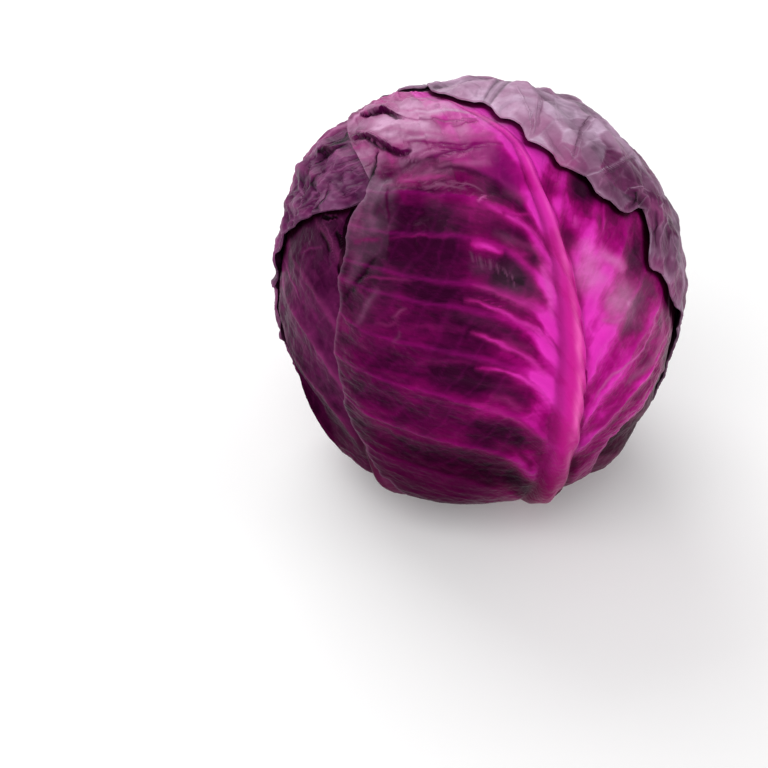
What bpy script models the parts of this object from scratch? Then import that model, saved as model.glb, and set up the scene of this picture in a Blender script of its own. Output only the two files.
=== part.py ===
"""A whole red cabbage standing on its cut stem.

Six wrapper leaves close round a tight inner head. Every leaf is a blade of its own that starts
at the stem, climbs the side and lies over the leaves below it. A place on the head is given by
its longitude and its rise, both in degrees: rise 0 is the stem, 90 the widest part, 180 the top.
The origin is the middle of the cut face of the stem, and +Z is up.
"""

import math

import bpy
import numpy as np

# Driving sizes, in metres
CENTRE_HEIGHT = 0.0810
INNER_RADIUS = 0.0772
SHOULDER = 0.0050
HOLLOW_DEPTH = 0.0105
BLADE = 0.00115
BLADE_AT_MARGIN = 0.00075
FLESHY_EXTRA = 0.0016
RIB_HEIGHT_AT_TIP = 0.0008
VEIN_HEIGHT = 0.0014
FLARE = 0.0008
GAP = 0.00100
HEAD_GAP = 0.0004
STEM_TOP_GAP = 0.0005
FOOT_BEVEL = 0.0011

# Degrees of the head's surface
STEM_ANGLE = 13.2
LEAF_START = 14.2
HOLLOW_RISE = 34.0
SHOULDER_RISE = 46.0
SHOULDER_WIDTH = 17.0
DRAPE = 9.0
MARGIN_CLEAR = 3.0
EXPOSED_FADE = 8.0
MARGIN_SMOOTHING = 2.2
GRID_SMOOTHING = 16.0
MARGIN_THINNING = 9.0
FLARE_WIDTH = 6.0
FLESHY_RISE = 48.0
FLESHY_SIDE = 17.0
RIB_START = 85.0
RIB_LENGTH = 162.0
RIB_HALF_AT_TIP = 1.24
RIB_HALF_GROWTH = 7.13
VEIN_FADE = 8.0
VEINS_FROM_RISE = 36.0
VEINS_FULL_RISE = 56.0
VEIN_DROP_LEFT = 35.0
VEIN_DROP_RIGHT = 8.0
VEIN_BEND = 9.5
CROWDED_FROM_RISE = 48.0

# Shares
VEIN_SLANT_RIGHT = 0.5
COVERED_RIB = 0.35
CROWDING = 0.40
EVEN_SHARE = 0.35
UPPER_CORNER = 0.22
LOWER_CORNER = 0.92

MARGIN_SAMPLES = 720
RELAXING_ROUNDS = 30
STEM_SIDES = 32
HEAD_SIDES = 30

# Where the head swells or falls in from a ball: (longitude, rise, width, height)
SWELLINGS = [
    (154, 126, 24, 0.0042),
    (62, 146, 18, 0.0044),
    (178, 98, 16, -0.0012),
    (105, 152, 16, -0.0030),
    (166, 110, 13, -0.0018),
    (-8, 77, 9, -0.0030),
    (-65, 36, 13, -0.0044),
    (-40, 46, 9, 0.0022),
]

# Each leaf: where the middle of its chart lies, its margin as (longitude, rise) going round it,
# how far its veins run on from the midrib, and its mesh. Leaves are listed from the inside out.
LEAVES = [
    {
        "name": "leaf_back",
        "longitude": 118.0,
        "rise": 85.0,
        "margin": [
            (118, 146), (82, 138), (62, 112), (57, 82), (64, 52), (78, 28), (86, 14.2),
            (118, 14.2), (150, 14.2), (158, 32), (168, 58), (176, 88), (168, 118), (148, 139),
        ],
        "veins_left": (-30, -12, 6, 22, 38, 54),
        "veins_right": (-30, -12, 6, 22, 38, 54),
        "rib_height": 0.0050,
        "wave": 1.2,
        "waves": 13,
        "grid": (18, 20),
        "colour": (0.110, 0.022, 0.075),
    },
    {
        "name": "leaf_left",
        "longitude": -125.0,
        "rise": 88.0,
        "margin": [
            (-125, 150), (-100, 142), (-76, 118), (-70, 90), (-78, 60), (-90, 35), (-96, 14.2),
            (-125, 14.2), (-157, 14.2), (-168, 36), (-188, 60), (-197, 90), (-194, 115), (-176, 138),
            (-150, 149),
        ],
        "veins_left": (-28, -8, 9, 22, 38, 54),
        "veins_right": (-28, -10, 6, 22, 38, 54),
        "rib_height": 0.0050,
        "wave": 1.2,
        "waves": 15,
        "grid": (20, 24),
        "colour": (0.085, 0.014, 0.060),
    },
    {
        "name": "leaf_right",
        "longitude": 8.0,
        "rise": 84.0,
        "margin": [
            (8, 144), (-34, 136), (-58, 114), (-66, 90), (-69, 62), (-60, 38), (-26, 14.2),
            (8, 14.2), (42, 14.2), (60, 36), (72, 60), (78, 88), (70, 114), (46, 136),
        ],
        "veins_left": (-34, -20, -7, 6, 22, 38, 54),
        "veins_right": (-28, -10, 6, 22, 38, 54),
        "rib_height": 0.0050,
        "wave": 1.2,
        "waves": 14,
        "grid": (20, 24),
        "colour": (0.120, 0.022, 0.080),
    },
    {
        "name": "leaf_upper_left",
        "longitude": 158.0,
        "rise": 100.0,
        "margin": [
            (158, 164), (-170, 162), (-140, 152), (-136, 141), (-146, 133), (-154, 129),
            (-162, 122), (-166, 117), (-173, 111), (178, 102), (175, 88), (174, 66), (180, 40),
            (194, 14.2), (158, 14.2), (122, 14.2), (114, 36), (108, 60), (104, 90), (100, 118),
            (96, 140), (112, 158),
        ],
        "veins_left": (-30, -14, 2, 17, 31, 44, 56),
        "veins_right": (-20, -4, 10, 22, 33, 44, 56),
        "rib_height": 0.0058,
        "wave": 1.4,
        "waves": 19,
        "grid": (20, 26),
        "colour": (0.125, 0.040, 0.100),
    },
    {
        "name": "leaf_front",
        "longitude": -64.0,
        "rise": 80.0,
        "margin": [
            (122, 146), (100, 155), (40, 163), (0, 158), (-8, 142), (-16, 126), (-22, 110), (-27, 100),
            (-30, 90), (-32, 78), (-36, 72), (-43, 70), (-50, 67), (-52, 60), (-51, 48),
            (-43, 32), (-32, 14.2), (-64, 14.2), (-98, 14.2), (-110, 34), (-122, 54), (-130, 74),
            (-134, 92), (-135, 105), (-138, 115), (-140, 122), (-144, 129), (-146, 134),
            (-148, 142), (-162, 146), (-180, 145), (169, 139), (155, 137), (145, 137), (133, 140),
        ],
        "veins_left": (-20, -5, 10.5, 25, 37.5, 44.5, 56.5, 69, 81),
        "veins_right": (-19, -5, 9.5, 23, 37, 51, 65, 78),
        "rib_height": 0.0052,
        "wave": 0.8,
        "waves": 17,
        "grid": (26, 36),
        "colour": (0.300, 0.010, 0.170),
    },
    {
        "name": "leaf_cap",
        "longitude": 73.0,
        "rise": 100.0,
        "margin": [
            (-179, 177), (-100, 176), (-66, 170), (-56, 163), (-52, 156), (-44, 149), (-39, 143),
            (-36, 135), (-33, 130), (-24, 127), (-30, 122), (-35, 115), (-30, 110), (-28, 103),
            (-28, 94), (-27, 84), (-22, 70), (-8, 52), (14, 33), (36, 14.2), (73, 14.2),
            (108, 14.2), (120, 36), (130, 60), (136, 85), (136, 110), (130, 135), (124, 150),
            (140, 162),
        ],
        "veins_left": (-28, -12, 4, 19, 33, 47, 60, 74),
        "veins_right": (-28, -12, 4, 19, 33, 47, 60),
        "rib_height": 0.0060,
        "wave": 1.3,
        "waves": 25,
        "grid": (28, 32),
        "colour": (0.230, 0.090, 0.190),
    },
]


def step(x):
    """Rises smoothly from 0 to 1 as x does, and stays level outside."""
    x = np.clip(x, 0.0, 1.0)
    return x * x * (3.0 - 2.0 * x)


def direction(longitude, rise):
    """The unit vector from the middle of the head to a place on it."""
    turn, tilt = np.radians(longitude), np.radians(rise)
    side = np.sin(tilt)
    return np.stack([side * np.cos(turn), side * np.sin(turn), -np.cos(tilt) + 0 * turn], axis=-1)


def rise_of(dirs):
    return np.degrees(np.arccos(np.clip(-dirs[..., 2], -1.0, 1.0)))


def chart_axes(leaf):
    """The middle of the leaf, the way up to its tip, and the way to its right seen from outside."""
    turn, tilt = math.radians(leaf["longitude"]), math.radians(leaf["rise"])
    middle = direction(leaf["longitude"], leaf["rise"])
    up = np.array([math.cos(tilt) * math.cos(turn), math.cos(tilt) * math.sin(turn), math.sin(tilt)])
    return middle, up, np.cross(up, middle)


def to_chart(leaf, dirs):
    """(bearing from the tip, reach from the middle) of places on the head, in degrees."""
    middle, up, right = chart_axes(leaf)
    reach = np.degrees(np.arccos(np.clip(dirs @ middle, -1.0, 1.0)))
    return np.degrees(np.arctan2(dirs @ right, dirs @ up)), reach


def from_chart(leaf, bearing, reach):
    middle, up, right = chart_axes(leaf)
    bearing, reach = np.radians(bearing)[..., None], np.radians(reach)[..., None]
    return middle * np.cos(reach) + (right * np.sin(bearing) + up * np.cos(bearing)) * np.sin(reach)


def across_and_along(leaf, dirs):
    """Degrees to the right of the midrib, and degrees from the leaf's middle towards its tip."""
    bearing, reach = to_chart(leaf, dirs)
    return reach * np.sin(np.radians(bearing)), reach * np.cos(np.radians(bearing))


def smoothed(table, width):
    offsets = np.arange(-60, 61)
    weights = np.exp(-((offsets * 360.0 / MARGIN_SAMPLES / width) ** 2))
    return sum(w * np.roll(table, k) for k, w in zip(offsets, weights)) / weights.sum()


def margin_table(leaf):
    """How far the leaf reaches at each of 720 bearings, with its waves and without."""
    corners = np.array(leaf["margin"], float)
    bearing, reach = to_chart(leaf, direction(corners[:, 0], corners[:, 1]))
    order = np.argsort(bearing)
    every = np.arange(MARGIN_SAMPLES) * 360.0 / MARGIN_SAMPLES - 180.0
    table = np.interp(every, bearing[order], reach[order], period=360.0)
    away_from_stem = step((150.0 - np.abs(every)) / 30.0)
    waves = away_from_stem * leaf["wave"] * np.sin(np.radians(every) * leaf["waves"])
    outline = smoothed(table, MARGIN_SMOOTHING) + waves
    return every, outline, smoothed(table, GRID_SMOOTHING), spread_bearings(every, outline)


def spread_bearings(every, outline):
    """Where on a square's rim each bearing falls: by length along the margin, corners by the stem."""
    ahead = np.roll(outline, -1)
    run = np.hypot(ahead - outline, np.radians(360.0 / MARGIN_SAMPLES) * outline)
    half = MARGIN_SAMPLES // 2
    along = []
    for side in (run[:half][::-1], run[half:]):
        share = EVEN_SHARE / half + (1.0 - EVEN_SHARE) * side / side.sum()
        share = np.concatenate([[0.0], np.cumsum(share)])
        along.append(np.interp(share, [0.0, UPPER_CORNER, LOWER_CORNER, 1.0], [0, 45, 135, 180]))
    return np.concatenate([-along[0][:0:-1], along[1][:-1]])


def reach_at(leaf, bearing):
    return np.interp(bearing, leaf["table"][0], leaf["table"][1], period=360.0)


def depth_inside(leaf, dirs):
    """Degrees from the leaf's margin, positive on the leaf and negative off it."""
    every, table = leaf["table"][:2]
    outline = from_chart(leaf, every, table)
    near = np.degrees(np.arccos(np.clip((dirs @ outline.T).max(axis=-1), -1.0, 1.0)))
    bearing, reach = to_chart(leaf, dirs)
    return np.where(reach < reach_at(leaf, bearing), near, -near)


def rib(leaf, dirs, spread=1.0):
    """The height of the midrib, which tapers from the stem to the tip. A spread widens its foot."""
    across, along = across_and_along(leaf, dirs)
    above_widest = along + leaf["rise"] - 92.0
    to_base = np.clip((RIB_START - above_widest) / RIB_LENGTH, 0.0, 1.0)
    half = (RIB_HALF_AT_TIP + RIB_HALF_GROWTH * to_base) * spread
    shape = np.clip(1.0 - (across / half) ** 2, 0.0, None) ** 2
    return shape * (RIB_HEIGHT_AT_TIP + leaf["rib_height"] * to_base**1.3)


def fleshy(leaf, dirs):
    """The thick base of the leaf, round the stem."""
    across, _ = across_and_along(leaf, dirs)
    low = step(1.0 - (rise_of(dirs) - LEAF_START) / FLESHY_RISE)
    return FLESHY_EXTRA * low * np.exp(-((across / FLESHY_SIDE) ** 2))


def blade_thickness(leaf, dirs, inside):
    thin = BLADE_AT_MARGIN + (BLADE - BLADE_AT_MARGIN) * step(inside / MARGIN_THINNING)
    return thin + fleshy(leaf, dirs)


def veins(leaf, dirs):
    """1 on a side vein and 0 midway between two. They leave the midrib steeply, then level out."""
    across, along = across_and_along(leaf, dirs)
    bend = np.exp(-np.abs(across) / VEIN_BEND)
    on_left = along + VEIN_DROP_LEFT * bend
    on_right = along - VEIN_SLANT_RIGHT * across + VEIN_DROP_RIGHT * bend
    left, right = leaf["veins_left"], leaf["veins_right"]
    left = np.interp(on_left, left, np.arange(len(left)))
    right = np.interp(on_right, right, np.arange(len(right)))
    return 0.5 + 0.5 * np.cos(2.0 * np.pi * np.where(across < 0.0, left, right))


def drape_over(leaf, dirs):
    """How far the leaf lifts whatever lies on it."""
    inside = depth_inside(leaf, dirs)
    on = step((inside + MARGIN_CLEAR + DRAPE) / DRAPE)
    return on * (BLADE + GAP + COVERED_RIB * rib(leaf, dirs, 2.0) + fleshy(leaf, dirs))


def exposed(index, dirs):
    """1 where no leaf lies over this one, and 0 under the margin of one."""
    shown = np.ones(dirs.shape[:-1])
    for upper in LEAVES[index + 1 :]:
        shown = shown * (1.0 - step(1.0 + depth_inside(upper, dirs) / EXPOSED_FADE))
    return shown


def crowding(dirs, radius):
    """The leaves press together where they meet at the stem."""
    low = step((CROWDED_FROM_RISE - rise_of(dirs)) / (CROWDED_FROM_RISE - LEAF_START))
    ground = inner_radius(dirs) + GAP
    return ground + (radius - ground) * (1.0 - CROWDING * low)


def inner_radius(dirs):
    """The inner head is a ball with a full shoulder low down, hollowed round the stem."""
    rise = rise_of(dirs)
    radius = INNER_RADIUS - HOLLOW_DEPTH * step(1.0 - rise / HOLLOW_RISE)
    radius = radius + SHOULDER * np.exp(-(((rise - SHOULDER_RISE) / SHOULDER_WIDTH) ** 2))
    for longitude, high, width, height in SWELLINGS:
        away = np.degrees(np.arccos(np.clip(dirs @ direction(longitude, high), -1.0, 1.0)))
        radius = radius + height * np.exp(-((away / width) ** 2))
    return radius


def leaf_faces(index, dirs):
    """The radii of the leaf's inner and outer faces."""
    leaf = LEAVES[index]
    under = inner_radius(dirs) + GAP
    for lower in LEAVES[:index]:
        under = under + drape_over(lower, dirs)
    inside = np.maximum(depth_inside(leaf, dirs), 0.0)
    shown = exposed(index, dirs)
    above = step((rise_of(dirs) - VEINS_FROM_RISE) / (VEINS_FULL_RISE - VEINS_FROM_RISE))
    ridges = VEIN_HEIGHT * veins(leaf, dirs) * step(inside / VEIN_FADE)
    flare = FLARE * step(1.0 - inside / FLARE_WIDTH)
    relief = shown * above * (ridges + flare)
    inner = under + relief
    pressed = COVERED_RIB + (1.0 - COVERED_RIB) * shown
    outer = inner + blade_thickness(leaf, dirs, inside) + pressed * rib(leaf, dirs)
    return crowding(dirs, inner), crowding(dirs, outer)


def material(name, colour, roughness):
    made = bpy.data.materials.new(name)
    made.use_nodes = True
    shader = made.node_tree.nodes["Principled BSDF"]
    shader.inputs["Base Color"].default_value = (*colour, 1.0)
    shader.inputs["Roughness"].default_value = roughness
    shader.inputs["Metallic"].default_value = 0.0
    made.diffuse_color = (*colour, 1.0)
    return made


def add_object(name, points, faces, finish):
    mesh = bpy.data.meshes.new(name)
    mesh.from_pydata([tuple(point) for point in points], [], [tuple(face) for face in faces])
    mesh.materials.append(finish)
    mesh.shade_smooth()
    mesh.set_sharp_from_angle(angle=math.radians(40))
    made = bpy.data.objects.new(name, mesh)
    bpy.context.scene.collection.objects.link(made)
    return made


def leaf_grid(leaf):
    """A grid that fills the leaf's chart: a square drawn into its rounded outline."""
    columns, rows = leaf["grid"]
    across = np.linspace(-1.0, 1.0, columns + 1)
    across = across * (0.7 + 0.3 * across**2)
    along = np.linspace(-1.0, 1.0, rows + 1)
    across, along = np.meshgrid(across, along)
    x = across * np.sqrt(1.0 - along**2 / 2.0)
    y = along * np.sqrt(1.0 - across**2 / 2.0)
    every, _, smooth, spread = leaf["table"]
    turned = np.degrees(np.arctan2(x, y))
    bearing = np.interp(turned, np.append(spread, 180.0), np.append(every, 180.0))
    part = np.hypot(x, y)
    even = np.interp(bearing, every, smooth, period=360.0)
    reach = part * (even + (reach_at(leaf, bearing) - even) * part**3)
    turned = np.radians(bearing)
    return relaxed(np.stack([reach * np.sin(turned), reach * np.cos(turned)], axis=-1))


def relaxed(grid):
    """Evens out the inside of a flat grid, so that no cell folds over, while its rim stays."""
    for _ in range(RELAXING_ROUNDS):
        over = (grid[1:-1, 2:] - grid[1:-1, :-2]) / 2.0
        up = (grid[2:, 1:-1] - grid[:-2, 1:-1]) / 2.0
        slant = grid[2:, 2:] - grid[2:, :-2] - grid[:-2, 2:] + grid[:-2, :-2]
        a = (up**2).sum(axis=-1, keepdims=True)
        b = (over * up).sum(axis=-1, keepdims=True)
        c = (over**2).sum(axis=-1, keepdims=True)
        middle = a * (grid[1:-1, 2:] + grid[1:-1, :-2]) + c * (grid[2:, 1:-1] + grid[:-2, 1:-1])
        grid[1:-1, 1:-1] = (middle - b * slant / 2.0) / (2.0 * (a + c))
    return grid


def twice_area(a, b, c):
    return (b[0] - a[0]) * (c[1] - a[1]) - (b[1] - a[1]) * (c[0] - a[0])


def grid_faces(grid):
    """Two triangles for each cell, split along the diagonal that leaves them more alike."""
    rows, wide = grid.shape[:2]
    flat = grid.reshape(-1, 2)
    faces = []
    for row in range(rows - 1):
        for column in range(wide - 1):
            a = row * wide + column
            b, c, d = a + 1, a + wide + 1, a + wide
            splits = ([(a, b, c), (a, c, d)], [(a, b, d), (b, c, d)])
            faces += max(splits, key=lambda pair: min(twice_area(*flat[list(face)]) for face in pair))
    return faces


def rim_faces(columns, rows, count):
    """The thin edge between the two faces of the blade."""
    wide = columns + 1
    ring = list(range(columns)) + [row * wide + columns for row in range(rows)]
    ring += [rows * wide + column for column in range(columns, 0, -1)]
    ring += [row * wide for row in range(rows, 0, -1)]
    faces = []
    for here, there in zip(ring, ring[1:] + ring[:1]):
        faces += [(here, there + count, there), (here, here + count, there + count)]
    return faces


def add_leaf(index):
    leaf = LEAVES[index]
    columns, rows = leaf["grid"]
    grid = leaf_grid(leaf)
    x, y = grid.reshape(-1, 2).T
    dirs = from_chart(leaf, np.degrees(np.arctan2(x, y)), np.hypot(x, y))
    inner, outer = leaf_faces(index, dirs)
    lift = np.array([0.0, 0.0, CENTRE_HEIGHT])
    points = np.concatenate([dirs * outer[:, None], dirs * inner[:, None]]) + lift
    faces = grid_faces(grid)
    faces += [(a + len(dirs), c + len(dirs), b + len(dirs)) for a, b, c in faces]
    faces += rim_faces(columns, rows, len(dirs))
    add_object(leaf["name"], points, faces, material(leaf["name"], leaf["colour"], 0.45))


def add_rings(name, rings, finish):
    """A closed body skinned over level rings of points, from the lowest to the highest."""
    sides = len(rings[0])
    points = [rings[0].mean(axis=0)] + [point for ring in rings for point in ring]
    points.append(rings[-1].mean(axis=0))
    top = len(points) - 1
    faces = []
    for side in range(sides):
        after = (side + 1) % sides
        faces.append((0, 1 + after, 1 + side))
        for ring in range(len(rings) - 1):
            a, b = 1 + ring * sides + side, 1 + ring * sides + after
            faces += [(a, b, b + sides), (a, b + sides, a + sides)]
        last = 1 + (len(rings) - 1) * sides
        faces.append((top, last + side, last + after))
    add_object(name, points, faces, finish)


def add_stem():
    """The stump of the stem: a short cone that narrows up into the hollow under the head."""
    slope = math.tan(math.radians(STEM_ANGLE))
    lip = float(inner_radius(direction(0.0, STEM_ANGLE))) * math.cos(math.radians(STEM_ANGLE))
    top = CENTRE_HEIGHT - lip - STEM_TOP_GAP
    turns = np.radians(np.arange(STEM_SIDES) * 360.0 / STEM_SIDES)
    circle = np.stack([np.cos(turns), np.sin(turns), 0 * turns], axis=-1)
    rings = [circle * ((CENTRE_HEIGHT - FOOT_BEVEL) * slope - FOOT_BEVEL)]
    for height in (FOOT_BEVEL, 0.5 * top, top):
        rings.append(circle * (CENTRE_HEIGHT - height) * slope + np.array([0.0, 0.0, height]))
    add_rings("stem", rings, material("stem", (0.72, 0.66, 0.50), 0.65))


def add_inner_head():
    """The inner leaves, folded tight into one ball."""
    turns = np.arange(HEAD_SIDES) * 360.0 / HEAD_SIDES
    rises = [6.0 * ring for ring in range(1, 8)] + [42.0 + 11.5 * ring for ring in range(1, 12)]
    rings = []
    for rise in rises:
        dirs = direction(turns, np.full(len(turns), rise))
        radii = inner_radius(dirs) - HEAD_GAP
        rings.append(dirs * radii[:, None] + np.array([0.0, 0.0, CENTRE_HEIGHT]))
    add_rings("inner_head", rings, material("inner_head", (0.20, 0.03, 0.14), 0.5))


def main():
    for old in list(bpy.data.objects):
        bpy.data.objects.remove(old)
    for leaf in LEAVES:
        leaf["table"] = margin_table(leaf)
    add_stem()
    add_inner_head()
    for index in range(len(LEAVES)):
        add_leaf(index)


main()
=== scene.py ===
"""The look of a whole red cabbage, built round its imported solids.

A place on the head is given by its longitude and its rise, both in degrees: rise 0 is the stem,
90 the widest part, 180 the top, and longitude -90 faces the camera. Every leaf has a flat chart of
its own, with its midrib running up the middle, and follows the same formulas as its solid.
"""

import math

import bpy
import numpy as np
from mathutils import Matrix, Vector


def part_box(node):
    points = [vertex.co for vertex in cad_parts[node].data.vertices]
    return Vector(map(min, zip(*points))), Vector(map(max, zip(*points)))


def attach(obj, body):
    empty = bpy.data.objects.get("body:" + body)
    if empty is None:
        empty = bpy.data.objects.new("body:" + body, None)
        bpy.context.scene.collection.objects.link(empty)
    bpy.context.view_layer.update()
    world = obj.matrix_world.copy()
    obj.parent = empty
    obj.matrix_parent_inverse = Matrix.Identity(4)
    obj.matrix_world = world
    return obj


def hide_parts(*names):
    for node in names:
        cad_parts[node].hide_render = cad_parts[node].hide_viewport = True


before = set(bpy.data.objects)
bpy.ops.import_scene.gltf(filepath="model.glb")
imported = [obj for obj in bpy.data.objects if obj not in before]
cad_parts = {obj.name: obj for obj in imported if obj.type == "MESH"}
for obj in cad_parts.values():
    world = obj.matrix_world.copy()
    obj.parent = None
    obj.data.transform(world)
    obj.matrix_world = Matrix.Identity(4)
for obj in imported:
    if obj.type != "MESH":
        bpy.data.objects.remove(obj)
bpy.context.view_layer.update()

# Driving sizes, in metres, as in the solids
CENTRE_HEIGHT = 0.0810
INNER_RADIUS = 0.0772
SHOULDER = 0.0050
HOLLOW_DEPTH = 0.0105
BLADE = 0.00115
BLADE_AT_MARGIN = 0.00075
FLESHY_EXTRA = 0.0016
RIB_HEIGHT_AT_TIP = 0.0008
FLARE = 0.0008
GAP = 0.00100

# Heights and depths of the fine relief, in metres
SWELL_HEIGHT = 0.0011
RUMPLE_HEIGHT = 0.0011
FACET_HEIGHT = 0.0018
PANE_LOWEST = -0.0007
PANE_HIGHEST = 0.0016
VEIN_HEIGHT = 0.00055
FORK_HEIGHT = 0.00010
SKIN_HEIGHT = 0.00009
SLIT_DEPTH = 0.0009

# Degrees of the head's surface
WIDEST_RISE = 92.0
STEM_ANGLE = 13.2
LEAF_START = 14.2
HOLLOW_RISE = 34.0
SHOULDER_RISE = 46.0
SHOULDER_WIDTH = 17.0
DRAPE = 9.0
MARGIN_CLEAR = 3.0
EXPOSED_FADE = 8.0
MARGIN_SMOOTHING = 0.8
GRID_SMOOTHING = 16.0
MARGIN_THINNING = 9.0
FLARE_WIDTH = 6.0
FLESHY_RISE = 48.0
FLESHY_SIDE = 17.0
RIB_START = 85.0
RIB_LENGTH = 162.0
RIB_HALF_AT_TIP = 1.24
RIB_HALF_GROWTH = 7.13
VEINS_FROM_RISE = 30.0
VEINS_FULL_RISE = 52.0
VEIN_DROP_LEFT = 35.0
VEIN_DROP_RIGHT = 8.0
VEIN_BEND = 9.5
VEIN_SLANT_RIGHT = 0.5
CROWDED_FROM_RISE = 48.0
CROWDING = 0.40
COVERED_RIB = 0.35
EVEN_SHARE = 0.35
UPPER_CORNER = 0.22
LOWER_CORNER = 0.92

# The photo's camera: degrees down, metres away, millimetres of lens and sensor, and the pixel of
# the photo where the middle of the head falls
CAMERA_PITCH = 33.5
CAMERA_DISTANCE = 0.860
LENS = 100.0
SENSOR = 36.0
PHOTO_SIDE = 768.0
FOCAL_PIXELS = LENS / SENSOR * PHOTO_SIDE
HEAD_PIXEL = (480.0, 289.5)

# The head's radius where the search for a pixel's place on it starts
FIRST_RADIUS = 0.083

# How far the shade under a leaf's margin reaches out from it
SHADE_WIDTH = {"leaf_cap": 0.75, "leaf_upper_left": 1.1, "leaf_front": 0.55}

MARGIN_SAMPLES = 1440
DOUBLINGS = 3

# The inner face of a leaf has one point for this many of the outer face each way
COARSE_EVERY = 4

# Where the head swells or falls in from a ball: (longitude, rise, width, height)
SWELLINGS = [
    (154, 126, 24, 0.0042),
    (62, 146, 18, 0.0044),
    (178, 98, 16, -0.0012),
    (105, 152, 16, -0.0030),
    (166, 110, 13, -0.0018),
    (-8, 77, 9, -0.0030),
    (-65, 36, 13, -0.0044),
    (-40, 46, 9, 0.0022),
]

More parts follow.
